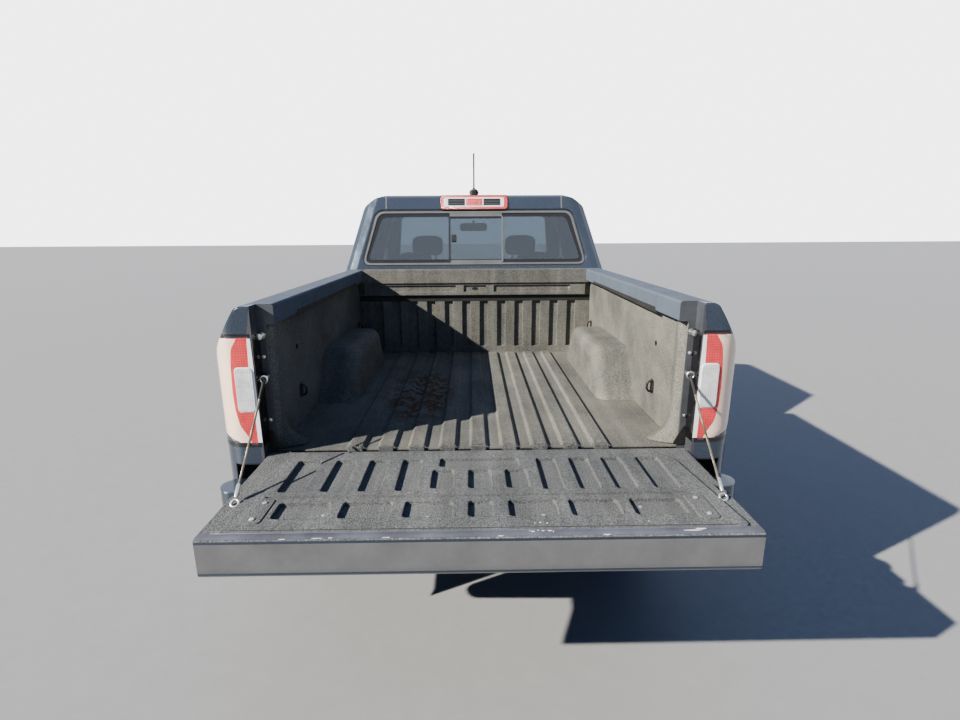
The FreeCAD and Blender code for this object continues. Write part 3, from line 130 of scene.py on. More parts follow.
def noise(coords, scale, detail=4.0, roughness=0.5):
    inputs = {"Vector": coords, "Scale": scale, "Detail": detail, "Roughness": roughness}
    return newNode(treeOf(coords), "ShaderNodeTexNoise", inputs).outputs["Fac"]


def cells(coords, scale, output, feature="F1"):
    inputs = {"Vector": coords, "Scale": scale}
    return newNode(treeOf(coords), "ShaderNodeTexVoronoi", inputs, feature=feature).outputs[output]


def ramp(value, *stops):  # each stop is a place and a colour or a grey
    node = newNode(treeOf(value), "ShaderNodeValToRGB", {"Fac": value})
    elements = node.color_ramp.elements
    while len(elements) < len(stops):
        elements.new(0.5)
    for element, (place, colour) in zip(elements, stops):
        element.position = place
        element.color = (*colour, 1) if isinstance(colour, tuple) else (colour, colour, colour, 1)
    return node.outputs["Color"]


def mixColour(share, first, second, blend="MIX"):
    inputs = {0: share, 6: first, 7: second}
    node = newNode(treeOf(share, first, second), "ShaderNodeMix", {}, data_type="RGBA", blend_type=blend)
    for place, value in inputs.items():
        feed(node.inputs[place], value)
    return node.outputs[2]


def maths(operation, first, second):
    return newNode(treeOf(first, second), "ShaderNodeMath", {0: first, 1: second},
                   operation=operation).outputs[0]


def bump(height, strength, distance, normal=None):
    inputs = {"Height": height, "Strength": strength, "Distance": distance}
    if normal:
        inputs["Normal"] = normal
    return newNode(treeOf(height), "ShaderNodeBump", inputs).outputs["Normal"]


def softEdge(shader, radius):
    return newNode(shader.id_data, "ShaderNodeBevel", {"Radius": radius}, samples=4).outputs["Normal"]


def setSurface(shader, **values):
    for name, value in values.items():
        feed(shader.inputs[name.replace("_", " ")], value)


def patch(coords, centre, size):  # 1 inside an oval, fading to 0 at its edge
    tree = treeOf(coords)
    shift = newNode(tree, "ShaderNodeVectorMath", {0: coords, 1: centre}, operation="SUBTRACT")
    scale = newNode(tree, "ShaderNodeVectorMath", {0: shift.outputs[0], 1: size}, operation="DIVIDE")
    length = newNode(tree, "ShaderNodeVectorMath", {0: scale.outputs[0]}, operation="LENGTH")
    return ramp(length.outputs["Value"], (0.55, 1), (1.0, 0))


paint = {"base": (0.052, 0.072, 0.106), "deep": (0.034, 0.048, 0.074), "dust": (0.24, 0.235, 0.23),
         "edge": 0.012}


def paintMaterial(name):
    material, shader, coords = newMaterial(name)
    tone = ramp(noise(coords, 1.3, 3), (0.3, paint["base"]), (0.7, paint["deep"]))
    sparkle = ramp(cells(coords, 900, "Color"), (0.55, 0), (0.95, (0.10, 0.13, 0.18)))
    dust = ramp(noise(coords, 6.0, 6, 0.7), (0.52, 0), (0.78, 0.10))
    gloss = ramp(noise(coords, 14, 4), (0.3, 0.18), (0.8, 0.30))
    setSurface(shader, Base_Color=mixColour(dust, mixColour(0.5, tone, sparkle, "ADD"), paint["dust"]),
               Roughness=gloss, Normal=softEdge(shader, paint["edge"]), Metallic=0.55, Coat_Weight=1.0,
               Coat_Roughness=0.03)
    return material


liner = {"base": (0.186, 0.188, 0.176), "pale": (0.232, 0.231, 0.212), "deep": (0.146, 0.149, 0.143),
         "dust": (0.37, 0.345, 0.29), "stain": (0.090, 0.066, 0.046),
         "stainAt": (-0.27, floorRear + 0.66, 0.84), "stainSize": (0.19, 0.50, 0.06), "edge": 0.006}


def linerMaterial(name, stain=False, dust=0.0, swell=0.0, tint=None):
    material, shader, coords = newMaterial(name)
    tree = shader.id_data
    broad = ramp(noise(coords, 2.6, 7, 0.66), (0.30, liner["deep"]), (0.5, liner["base"]),
                 (0.70, liner["pale"]))
    streaks = ramp(noise(objectCoords(tree, (16, 1.2, 1.2)), 1.0, 5, 0.7), (0.42, 0.86), (0.62, 1.12))
    speck = ramp(noise(coords, 210, 4, 0.75), (0.38, 0.50), (0.62, 1.34))
    colour = mixColour(1.0, mixColour(1.0, broad, streaks, "MULTIPLY"), speck, "MULTIPLY")
    if tint:
        colour = mixColour(1.0, colour, tint, "MULTIPLY")
    if dust:
        colour = mixColour(ramp(noise(coords, 4.5, 6, 0.7), (0.40, 0), (0.72, dust)), colour, liner["dust"])
    if stain:
        grit = ramp(noise(coords, 15, 6, 0.78), (0.47, 0), (0.53, 1))
        spread = patch(coords, liner["stainAt"], liner["stainSize"])
        colour = mixColour(maths("MULTIPLY", spread, grit), colour, liner["stain"])
    grain = maths("MULTIPLY", cells(coords, 230, "Distance", "SMOOTH_F1"), -1.0)
    grain = maths("ADD", grain, maths("MULTIPLY", noise(coords, 520, 2, 0.6), 0.9))
    base = softEdge(shader, liner["edge"])
    if swell:
        base = bump(noise(objectCoords(tree, (1, 4.2, 5.0)), 1.0, 1.5, 0.4), 1.0, swell, base)
    setSurface(shader, Base_Color=colour, Normal=bump(grain, 0.85, 0.002, base), Specular_IOR_Level=0.12,
               Roughness=ramp(noise(coords, 60, 3), (0.3, 0.62), (0.75, 0.85)))
    return material


# A moulded, cast or coated surface with slight changes of colour and gloss, and a grain where it has one
def plainMaterial(name, colour, roughness, metallic=0.0, grain=None, wear=0.25, **extra):
    material, shader, coords = newMaterial(name)
    darker = tuple(c * (1 - wear) for c in colour)
    lighter = tuple(min(1.0, c * (1 + wear)) for c in colour)
    low, high = max(0.02, roughness - 0.08), min(1.0, roughness + 0.1)
    setSurface(shader, Base_Color=ramp(noise(coords, 9, 6, 0.65), (0.3, darker), (0.7, lighter)),
               Roughness=ramp(noise(coords, 35, 4), (0.3, low), (0.7, high)), Metallic=metallic, **extra)
    if grain:
        scale, depth = grain
        setSurface(shader, Normal=bump(noise(coords, scale, 3, 0.6), 0.5, depth))
    return material


def glassMaterial(name, colour, weight=0.95, bend=1.5, film=0.004):
    material, shader, coords = newMaterial(name)
    setSurface(shader, Roughness=ramp(noise(coords, 5, 5, 0.7), (0.45, film), (0.8, film + 0.02)),
               Base_Color=colour, Transmission_Weight=weight, IOR=bend, Coat_Weight=0.3)
    return material


# Moulded lens plastic with small pillows or ribs across it
def lensMaterial(name, colour, width, height, seeThrough=0.15):
    material, shader, coords = newMaterial(name, rotation=(math.radians(90), 0, 0))
    white, black = (1, 1, 1), (0, 0, 0)
    inputs = {"Vector": coords, "Scale": 1.0, "Mortar Size": width * 0.10, "Mortar Smooth": 1.0,
              "Brick Width": width, "Row Height": height, "Color1": white, "Color2": white, "Mortar": black}
    grid = newNode(shader.id_data, "ShaderNodeTexBrick", inputs, offset=0.0).outputs["Color"]
    shade = ramp(grid, (0.0, tuple(c * 0.6 for c in colour)), (1.0, colour))
    cloud = ramp(noise(coords, 24, 4, 0.6), (0.3, 0.8), (0.7, 1.1))
    setSurface(shader, Base_Color=mixColour(1.0, shade, cloud, "MULTIPLY"), Normal=bump(grid, 0.4, 0.002),
               Roughness=0.12, Transmission_Weight=seeThrough, Coat_Weight=1.0, Coat_Roughness=0.03)
    return material


def tyreMaterial(name):
    material, shader, coords = newMaterial(name)
    tone = ramp(noise(coords, 12, 6, 0.7), (0.3, (0.016, 0.016, 0.017)), (0.75, (0.052, 0.050, 0.047)))
    setSurface(shader, Base_Color=tone, Normal=bump(noise(coords, 300, 3), 0.25, 0.0008), Roughness=0.82)
    return material


def clothMaterial(name, colour):
    material, shader, coords = newMaterial(name)
    inputs = {"Vector": coords, "Scale": 190, "Distortion": 1.5}
    wave = newNode(shader.id_data, "ShaderNodeTexWave", inputs, wave_type="BANDS",
                   bands_direction="DIAGONAL")
    weave = wave.outputs["Fac"]
    tone = ramp(weave, (0.2, tuple(c * 0.6 for c in colour)), (0.8, colour))
    cloud = ramp(noise(coords, 5, 5), (0.3, 0.02), (0.8, 0.14))
    setSurface(shader, Base_Color=mixColour(0.25, tone, cloud), Normal=bump(weave, 0.4, 0.0012),
               Roughness=0.85, Sheen_Weight=0.3)
    return material


# colour, roughness and what else each plain finish has
plainFinishes = {
    "blackPlastic": ((0.022, 0.022, 0.024), 0.5, {"grain": (420, 0.0006)}),
    "glossBlack": ((0.012, 0.012, 0.014), 0.12, {"Coat_Weight": 0.6}),
    "sealRubber": ((0.030, 0.030, 0.031), 0.75, {"grain": (500, 0.0004)}),
    "greySeal": ((0.15, 0.155, 0.16), 0.45, {"grain": (500, 0.0003), "wear": 0.15}),
    "chassisBlack": ((0.028, 0.027, 0.026), 0.55, {"metallic": 0.3, "grain": (160, 0.001), "wear": 0.5}),
    "castIron": ((0.16, 0.155, 0.15), 0.6, {"metallic": 0.7, "grain": (240, 0.0012), "wear": 0.4}),
    "dullSteel": ((0.30, 0.28, 0.25), 0.42, {"metallic": 0.9, "grain": (120, 0.0006), "wear": 0.35}),
    "zincSteel": ((0.62, 0.62, 0.60), 0.3, {"metallic": 0.9, "grain": (300, 0.0003), "wear": 0.2}),
    "cableStrand": ((0.26, 0.235, 0.19), 0.45, {"metallic": 0.6, "grain": (900, 0.0008), "wear": 0.5}),
    "alloySilver": ((0.62, 0.63, 0.65), 0.28, {"metallic": 0.85, "grain": (700, 0.0002), "wear": 0.08,
                                               "Coat_Weight": 0.5}),
    "brightChrome": ((0.82, 0.82, 0.83), 0.06, {"metallic": 1.0, "wear": 0.05}),
    "capPlastic": ((0.150, 0.153, 0.158), 0.5, {"grain": (500, 0.0005), "wear": 0.14}),
    "gateBand": ((0.115, 0.122, 0.150), 0.45, {"grain": (300, 0.0004), "wear": 0.35}),
    "cabinPlastic": ((0.035, 0.036, 0.038), 0.6, {"grain": (380, 0.0006)}),
    "headliner": ((0.38, 0.37, 0.35), 0.9, {"grain": (600, 0.0008)}),
    # the wrap lens's peach colour is a painted reflection of warm light in a chrome reflector behind clear
    # plastic
    "wrapPaintedReflection": ((0.98, 0.74, 0.60), 0.16, {"wear": 0.06, "Coat_Weight": 1.0}),
    "whiteLens": ((0.90, 0.90, 0.92), 0.18, {"wear": 0.05, "Coat_Weight": 0.8}),
    "pillarPaint": ((0.078, 0.084, 0.096), 0.42, {"grain": (300, 0.0004), "wear": 0.3, "Coat_Weight": 0.3}),
    "railPaint": ((0.125, 0.150, 0.190), 0.60, {"grain": (300, 0.0003), "wear": 0.10,
                                                "Specular_IOR_Level": 0.15}),
    "mirrorSilver": ((0.85, 0.87, 0.88), 0.03, {"metallic": 1.0, "wear": 0.02}),
    "blankPlate": ((0.72, 0.73, 0.72), 0.35, {"wear": 0.05}),
    "studioFloor": ((0.36, 0.363, 0.37), 0.60, {"wear": 0.03}),
}
finishes = {name: plainMaterial(name, colour, roughness, **more)
            for name, (colour, roughness, more) in plainFinishes.items()}
for material in (
        paintMaterial("slatePaint"),
        linerMaterial("bedLiner", stain=True, dust=0.28),
        linerMaterial("sideLiner", dust=0.30, swell=0.05),
        linerMaterial("gateLiner", dust=0.04, tint=(0.96, 0.99, 1.08)),
        glassMaterial("clearGlass", (0.72, 0.80, 0.78)),
        glassMaterial("tintedGlass", (0.20, 0.26, 0.32), bend=1.9),
        glassMaterial("privacyGlass", (0.020, 0.026, 0.034), weight=0.5),
        lensMaterial("redLens", (0.92, 0.095, 0.100), 0.009, 0.009),
        lensMaterial("clearLens", (0.86, 0.88, 0.90), 0.008, 0.05),
        lensMaterial("headLens", (0.42, 0.45, 0.49), 0.014, 0.014, seeThrough=0.35),
        tyreMaterial("tyreRubber"),
        clothMaterial("seatCloth", (0.055, 0.056, 0.060))):
    finishes[material.name] = material
print("materials made")

nodeFinishes = {
    "slatePaint": ["cab_shell", "hood", "rear_bumper", "front_bumper", "tailgate", *pair("door_front"),
                   *pair("door_rear"), *pair("fender"), *pair("bed_side")],
    "bedLiner": ["bed_floor", "bed_front_wall"],
    "clearGlass": ["windshield", *pair("door_front_glass")],
    "tintedGlass": ["rear_glass"],
    "privacyGlass": pair("door_rear_glass"),
    "blackPlastic": ["antenna", "grille", "fuel_tank", *pair("mirror")],
    "cabinPlastic": ["dashboard", "steering_wheel"],
    "chassisBlack": ["frame", "front_suspension", "rear_axle", "leaf_springs", "front_structure",
                     *pair("knuckle")],
    "headLens": ["headlamps"],
    "redLens": ["tail_lamps", "high_lamp"],
    "cableStrand": ["tailgate_cables"],
    "dullSteel": ["exhaust"],
    "castIron": ["engine"],
    "seatCloth": ["front_seats", "rear_seat"],
    "alloySilver": pair("wheel_front") + pair("wheel_rear"),
    "tyreRubber": ["spare_wheel", *pair("tyre_front"), *pair("tyre_rear")],
}
for finish, names in nodeFinishes.items():
    for name in names:
        nodes[name].data.materials.clear()
        nodes[name].data.materials.append(finishes[finish])


# Gives the faces that a test picks out a second finish
def secondFinish(names, finish, isThere):
    for name in names:
        mesh = nodes[name].data
        mesh.materials.append(finishes[finish])
        index = len(mesh.materials) - 1
        for polygon in mesh.polygons:
            if isThere(polygon.center, polygon.normal):
                polygon.material_index = index


def cabHalfWidth(z, below):
    return below if z < cab["beltZ"] else cab["beltHalfWidth"] - (z - cab["beltZ"]) * cab["sideLean"]


# Where each second finish ends on the solids
border = {"linerX": 0.7595, "railFoot": 1.3005, "railX": 0.76, "pillarX": 0.7705, "gateEdge": 0.80,
          "gateTop": 0.826, "cabMiddle": Vector((0.0, 0.35, 1.25)), "cabFoot": 0.6, "cabTop": 1.825,
          "cabWall": 0.045, "headlinerFoot": 1.62, "stepX": 0.378, "stepFoot": 0.72, "wrapX": 0.846}


def inBoxRun(centre):
    return centre.y > floorRear - 0.001


def onBoxLiner(centre, normal):
    return abs(centre.x) < border["linerX"] and centre.z < railTop - 0.0015 and inBoxRun(centre)


def onRail(centre, normal):
    facesIn = normal.x * centre.x < 0 and abs(centre.x) < border["railX"]
    return centre.z > border["railFoot"] and inBoxRun(centre) and (normal.z > 0.7 or facesIn)


def onRearPillar(centre, normal):
    return abs(centre.x) < border["pillarX"] and centre.z < railTop - 0.004 and centre.y < floorRear + 0.012


def onGateLiner(centre, normal):
    return centre.z > border["gateEdge"] and (normal.z > 0.3 or centre.z > border["gateTop"])


def insideCab(centre, normal):
    if (border["cabMiddle"] - centre).dot(normal) < 0 and centre.z > 1.0:
        return False
    if not cabRear + border["cabWall"] < centre.y < cowlY - 0.04:
        return False
    if not border["cabFoot"] < centre.z < border["cabTop"]:
        return False
    between = rearFace(centre.z) + border["cabWall"] < centre.y < screenFace(centre.z) - 0.04
    return between and abs(centre.x) < cabHalfWidth(centre.z, 0.86) - 0.030


def inHeadliner(centre, normal):
    return centre.z > border["headlinerFoot"] and insideCab(centre, normal)


def inLowerCabin(centre, normal):
    return centre.z <= border["headlinerFoot"] and insideCab(centre, normal)


def doorInside(centre, normal):
    return abs(centre.x) < cabHalfWidth(centre.z, 0.92) - 0.033 and centre.x * normal.x < 0.02


def onStepPad(centre, normal):
    return abs(centre.x) < border["stepX"] and centre.z > border["stepFoot"] and normal.z > 0.5


def onLampWrap(centre, normal):
    return abs(centre.x) > border["wrapX"]


secondFinish(pair("bed_side"), "sideLiner", onBoxLiner)
secondFinish(pair("bed_side"), "railPaint", onRail)
secondFinish(["tail_lamps"], "wrapPaintedReflection", onLampWrap)
secondFinish(pair("bed_side"), "pillarPaint", onRearPillar)
secondFinish(["tailgate"], "gateLiner", onGateLiner)
secondFinish(["cab_shell"], "headliner", inHeadliner)
secondFinish(["cab_shell"], "cabinPlastic", inLowerCabin)
secondFinish(pair("door_front") + pair("door_rear"), "cabinPlastic", doorInside)
secondFinish(["rear_bumper"], "blackPlastic", onStepPad)


# Mesh making: a part is a list of corners and a list of faces
def joined(parts):
    verts, faces = [], []
    for partVerts, partFaces in parts:
        base = len(verts)
        verts.extend(Vector(v) for v in partVerts)
        faces.extend(tuple(base + i for i in face) for face in partFaces)
    return verts, faces


def bothSides(parts):
    return parts + [([Vector((-v[0], v[1], v[2])) for v in verts], [face[::-1] for face in faces])
                    for verts, faces in parts]


def movedPart(part, matrix):
    return [matrix @ Vector(v) for v in part[0]], part[1]


def blockPart(x0, x1, y0, y1, z0, z1):
    verts = [(x, y, z) for x in (x0, x1) for y in (y0, y1) for z in (z0, z1)]
    return verts, [(0, 1, 3, 2), (4, 6, 7, 5), (0, 4, 5, 1), (2, 3, 7, 6), (0, 2, 6, 4), (1, 5, 7, 3)]


def rectangle(u0, u1, v0, v1):
    return [(u0, v0), (u1, v0), (u1, v1), (u0, v1)]


def roundRect(u0, u1, v0, v1, radius, steps=5):
    points = []
    centres = ((u1 - radius, v0 + radius, -90), (u1 - radius, v1 - radius, 0),
               (u0 + radius, v1 - radius, 90), (u0 + radius, v0 + radius, 180))
    for cu, cv, start in centres:
        for k in range(steps + 1):
            angle = math.radians(start + 90 * k / steps)
            points.append((cu + radius * math.cos(angle), cv + radius * math.sin(angle)))
    return points


def ovalPoints(u, v, halfU, halfV, count):
    angles = [2 * math.pi * k / count for k in range(count)]
    return [(u + halfU * math.cos(a), v + halfV * math.sin(a)) for a in angles]


def sidePoints(points, side):
    return [(u * side, v) for u, v in points][::side]


def roundCorners(points, radius, steps=4):
    smooth = []
    for i, point in enumerate(points):
        here = Vector(point)
        back = Vector(points[i - 1]) - here
        ahead = Vector(points[(i + 1) % len(points)]) - here
        run = min(radius, back.length * 0.45, ahead.length * 0.45)
        first, last = here + back.normalized() * run, here + ahead.normalized() * run
        for k in range(steps + 1):
            t = k / steps
            smooth.append(tuple(first * (1 - t) ** 2 + here * 2 * t * (1 - t) + last * t ** 2))
    return smooth


def axesOf(across, up):
    across, up = Vector(across).normalized(), Vector(up).normalized()
    return across, up, across.cross(up)


def quads(around, levels, closed=False):  # faces between rings of corners
    faces = []
    for i in range(levels if closed else levels - 1):
        a, b = i * around, (i + 1) % levels * around
        faces += [(a + k, a + (k + 1) % around, b + (k + 1) % around, b + k) for k in range(around)]
    return faces


def platePart(points, origin, across, up, depth, chamfer=0.0):
    across, up, out = axesOf(across, up)
    count = len(points)
    middleU, middleV = (sum(p[k] for p in points) / count for k in (0, 1))
    levels = [(0.0, 0.0), (depth - chamfer, 0.0)] + ([(depth, chamfer)] if chamfer else [])
    verts = []
    for height, shrink in levels:
        for u, v in points:
            share = 1 - shrink / max(1e-6, math.hypot(u - middleU, v - middleV))
            verts.append(Vector(origin) + across * (middleU + (u - middleU) * share)
                         + up * (middleV + (v - middleV) * share) + out * height)
    ends = [tuple(range(count))[::-1], tuple(range(len(verts) - count, len(verts)))]
    return verts, ends + quads(count, len(levels))


def framePart(outer, inner, origin, across, up, depth):
    across, up, out = axesOf(across, up)
    count = len(outer)
    verts = [Vector(origin) + across * u + up * v + out * height
             for height in (0.0, depth) for points in (outer, inner) for u, v in points]
    faces = []
    for i in range(count):
        a, b, c, d = (k * count + i for k in range(4))
        e, f, g, h = (k * count + (i + 1) % count for k in range(4))
        faces += [(a, b, f, e), (c, g, h, d), (a, e, g, c), (b, d, h, f)]
    return verts, faces


def rearPlate(points, y, depth, chamfer=0.0):  # upright, facing the rear
    return platePart(points, (0, y, 0), acrossX, upZ, depth, chamfer)


def topPlate(points, z, depth, chamfer=0.0):  # lying, facing up
    return platePart(points, (0, 0, z), acrossX, alongY, depth, chamfer)


def wallPlate(points, x, depth):  # on the inner side of a wall, given by -y and z
    return platePart(points, (x, 0, 0), (0, -1, 0), upZ, depth)


def directionAt(spots, i, closed):
    before = spots[i - 1] if closed or i else spots[i]
    after = spots[(i + 1) % len(spots)] if closed or i < len(spots) - 1 else spots[i]
    return after - before


def tubePart(path, radius, around=10, closed=False):
    path = [Vector(p) for p in path]
    count = len(path)
    radii = radius if isinstance(radius, (list, tuple)) else [radius] * count
    verts, normal = [], None
    for i, spot in enumerate(path):
        along = directionAt(path, i, closed).normalized()
        normal = along.orthogonal() if normal is None else normal
        normal = (normal - along * normal.dot(along)).normalized()
        side = along.cross(normal)
        for k in range(around):
            angle = 2 * math.pi * k / around
            verts.append(spot + (normal * math.cos(angle) + side * math.sin(angle)) * radii[i])
    faces = quads(around, count, closed)
    if not closed:
        faces += [tuple(range(around))[::-1], tuple(range((count - 1) * around, count * around))]
    return verts, faces


def ringPath(centre, across, up, radius, steps=20):
    across, up, _ = axesOf(across, up)
    return [Vector(centre) + across * u + up * v for u, v in ovalPoints(0, 0, radius, radius, steps)]


def lathePart(profile, centre, axis, steps):
    axis = Vector(axis).normalized()
    side = axis.orthogonal().normalized()
    up = axis.cross(side)
    count = len(profile)
    verts, faces = [], []
    for k in range(steps):
        angle = 2 * math.pi * k / steps
        spoke = side * math.cos(angle) + up * math.sin(angle)
        verts += [Vector(centre) + axis * along + spoke * radius for along, radius in profile]
        b = (k + 1) % steps
        for i in range(count):
            j = (i + 1) % count
            if profile[i][1] > 1e-6 or profile[j][1] > 1e-6:
                faces.append((k * count + i, k * count + j, b * count + j, b * count + i))
    return verts, faces


# A closed sheet through rows of points, given its thickness along the normals
def sheetPart(rows, thickness, sink):
    rowCount, count = len(rows), len(rows[0])
    normals = []
    for i in range(rowCount):
        for j in range(count):
            along = rows[min(i + 1, rowCount - 1)][j][0] - rows[max(i - 1, 0)][j][0]
            across = rows[i][min(j + 1, count - 1)][0] - rows[i][max(j - 1, 0)][0]
            normal = across.cross(along)
            outward = rows[i][j][1]
            normal = normal.normalized() if normal.length > 1e-9 else outward
            normals.append(normal if normal.dot(outward) > 0 else -normal)
    spots = [point for row in rows for point, _ in row]
    verts = [p + n * lift for lift in (-sink, thickness) for p, n in zip(spots, normals)]
    total, faces = rowCount * count, []
    for a in (i * count + j for i in range(rowCount - 1) for j in range(count - 1)):
        b, c, d = a + 1, a + count + 1, a + count
        faces += [(a, b, c, d), (total + d, total + c, total + b, total + a)]
    rim = [*range(count), *(i * count + count - 1 for i in range(1, rowCount)),
           *(total - count + j for j in range(count - 2, -1, -1)),
           *(i * count for i in range(rowCount - 2, 0, -1))]
    faces += [(a, b, total + b, total + a) for a, b in zip(rim, rim[1:] + rim[:1])]
    return verts, faces


surfaces = {}


def onSurface(names, start, direction):
    names = (names,) if isinstance(names, str) else names
    if names not in surfaces:
        meshes = [nodes[name].data for name in names]
        parts = [([v.co for v in mesh.vertices], [tuple(p.vertices) for p in mesh.polygons])
                 for mesh in meshes]
        surfaces[names] = BVHTree.FromPolygons(*joined(parts))
    direction = Vector(direction).normalized()
    hit, normal, _, _ = surfaces[names].ray_cast(Vector(start), direction)
    if hit is None:
        return None
    return hit, (-normal if normal.dot(direction) > 0 else normal)


def filledRow(hits):  # a gap takes the hit beside it
    last = next(hit for hit in hits if hit)
    row = []
    for hit in hits:
        last = hit or last
        row.append(last)
    return row


# A moulding that follows the surface of some nodes, seen along a direction
def surfaceStrip(names, starts, direction, width, proud, closed=True):
    hits = [hit for hit in (onSurface(names, start, direction) for start in starts) if hit]
    spots = [spot for spot, _ in hits]
    verts = []
    for i, (spot, normal) in enumerate(hits):
        side = directionAt(spots, i, closed).cross(normal).normalized()
        for reach, height in ((-0.5, -0.001), (-0.38, proud), (0.38, proud), (0.5, -0.001)):
            verts.append(spot + side * width * reach + normal * height)
    faces, last = quads(4, len(hits), closed), len(verts)
    if not closed:
        faces += [(0, 1, 2, 3), (last - 1, last - 2, last - 3, last - 4)]
    return verts, faces


def meshOf(name, parts, sharp):
    mesh = bpy.data.meshes.new(name)
    verts, faces = joined(parts)
    mesh.from_pydata(verts, [], faces)
    work = bmesh.new()
    work.from_mesh(mesh)
    bmesh.ops.remove_doubles(work, verts=work.verts, dist=1e-6)
    bmesh.ops.dissolve_degenerate(work, edges=work.edges, dist=1e-7)
    bmesh.ops.recalc_face_normals(work, faces=work.faces)
    work.to_mesh(mesh)
    work.free()
    mesh.polygons.foreach_set("use_smooth", [True] * len(mesh.polygons))
    mesh.set_sharp_from_angle(angle=math.radians(sharp))
    return mesh


def placed(name, mesh, body, replaced):
    item = bpy.data.objects.new(name, mesh)
    bpy.context.scene.collection.objects.link(item)
    if body:
        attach(item, body)
    if replaced:
        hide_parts(*replaced)
    return item


def addPiece(name, parts, finish, body="body", sharp=35, bevel=0.0, replaced=()):
    mesh = meshOf(name, parts, sharp)
    mesh.materials.append(finishes[finish])
    item = placed(name, mesh, body, replaced)
    if bevel:
        soften = item.modifiers.new("softEdges", "BEVEL")
        soften.width = bevel
        soften.segments = 2
        soften.limit_method = "ANGLE"
        soften.angle_limit = math.radians(40)
    return item


# Geometry Nodes that set an item on each spot, turned by the spot's own angles
def repeatNodes(name):
    tree = bpy.data.node_groups.new(name, "GeometryNodeTree")
    for label, kind in (("Spots", "Geometry"), ("Item", "Object"), ("Finish", "Material")):
        tree.interface.new_socket(label, in_out="INPUT", socket_type="NodeSocket" + kind)
    tree.interface.new_socket("Geometry", in_out="OUTPUT", socket_type="NodeSocketGeometry")
    start = tree.nodes.new("NodeGroupInput")
    item = newNode(tree, "GeometryNodeObjectInfo", {"Object": start.outputs["Item"]})
    turn = newNode(tree, "GeometryNodeInputNamedAttribute", {"Name": "turn"}, data_type="FLOAT_VECTOR")
    turnOut = next(o for o in turn.outputs if o.name == "Attribute" and o.enabled)
    angles = newNode(tree, "FunctionNodeEulerToRotation", {"Euler": turnOut})
    inputs = {"Points": start.outputs["Spots"], "Instance": item.outputs["Geometry"],
              "Rotation": angles.outputs["Rotation"]}
    copies = newNode(tree, "GeometryNodeInstanceOnPoints", inputs)
    real = newNode(tree, "GeometryNodeRealizeInstances", {"Geometry": copies.outputs["Instances"]})
    inputs = {"Geometry": real.outputs["Geometry"], "Material": start.outputs["Finish"]}
    finish = newNode(tree, "GeometryNodeSetMaterial", inputs)
    newNode(tree, "NodeGroupOutput", {"Geometry": finish.outputs["Geometry"]})
    return tree


repeatTree = repeatNodes("repeatOnSpots")


def repeatPiece(name, itemParts, spots, finish, body="body"):
    item = bpy.data.objects.new(name + "Item", meshOf(name + "Item", itemParts, 35))
    carrierMesh = bpy.data.meshes.new(name + "Spots")
    carrierMesh.from_pydata([tuple(place) for place, _ in spots], [], [])
    turns = carrierMesh.attributes.new("turn", "FLOAT_VECTOR", "POINT")
    for data, (_, turn) in zip(turns.data, spots):
        data.vector = turn
    carrier = bpy.data.objects.new(name + "Carrier", carrierMesh)
    for helper in (item, carrier):
        bpy.context.scene.collection.objects.link(helper)
    modifier = carrier.modifiers.new("repeat", "NODES")
    modifier.node_group = repeatTree
    values = {"Item": item, "Finish": finishes[finish]}
    for socket in repeatTree.interface.items_tree:
        if socket.name in values:
            modifier[socket.identifier] = values[socket.name]
    bpy.context.view_layer.update()
    graph = bpy.context.evaluated_depsgraph_get()
    mesh = bpy.data.meshes.new_from_object(carrier.evaluated_get(graph), depsgraph=graph)
    for helper in (carrier, item):
        bpy.data.objects.remove(helper)
    mesh.name = name
    placed(name, mesh, body, ())


# A pan-head screw, its head towards +Z
def screwParts(radius, height):
    head = [(0, 0), (0, radius), (height * 0.5, radius), (height, radius * 0.6), (height, radius * 0.25),
            (height * 0.6, radius * 0.2), (height * 0.6, 0)]
    return [lathePart(head, (0, 0, 0), upZ, 14)]


# A hexagon head on its washer, towards +Z
def boltParts(radius, height):
    washer = [(0, 0), (0, radius * 1.35), (height * 0.25, radius * 1.3), (height * 0.25, 0)]
    head = [(height * 0.25, 0), (height * 0.25, radius), (height * 0.9, radius), (height, radius * 0.85),
            (height, 0)]
    return [lathePart(washer, (0, 0, 0), upZ, 16), lathePart(head, (0, 0, 0), upZ, 6)]


facingRear = (math.radians(90), 0, 0)

# Tail lamps: lens shells laid over the solids, from the inner edge round the corner, edges given as (z, x)
# A build, here and below, is a plate's depth and chamfer, after its lift where it has one.
lamp = {"bezelBuild": (0.0015, 0.0006), "reverseBuild": (0.0034, 0.0024),
        "bottom": 0.894, "top": 1.266, "rows": 26, "turnX": 0.817, "turnRadius": 0.095, "panelEdge": 0.770,
        "search": (0.80, 1.06), "bezel": (0.7675, 0.8310, 1.0055, 1.1675, 0.014),
        "reverse": (0.7690, 0.829, 1.008, 1.165, 0.013),
        "edges": {"inner": [(0.89, 0.7603), (1.27, 0.7650)],
                  "strip": [(0.894, 0.7750), (1.01, 0.7765), (1.17, 0.7795), (1.266, 0.7765)],
                  "red": [(0.894, 0.797), (0.915, 0.806), (0.956, 0.831), (1.015, 0.842), (1.08, 0.845),
                          (1.17, 0.841), (1.231, 0.834), (1.266, 0.812)]},
        "shells": (("Strip", "inner", "strip", 0.0016, 3, "whiteLens", "clear_lamp"),
                   ("Red", "strip", "red", 0.0012, 8, "redLens", "red_lamp"),
                   ("Wrap", "red", None, 0.0012, 14, "wrapPaintedReflection", "clear_lamp"))}


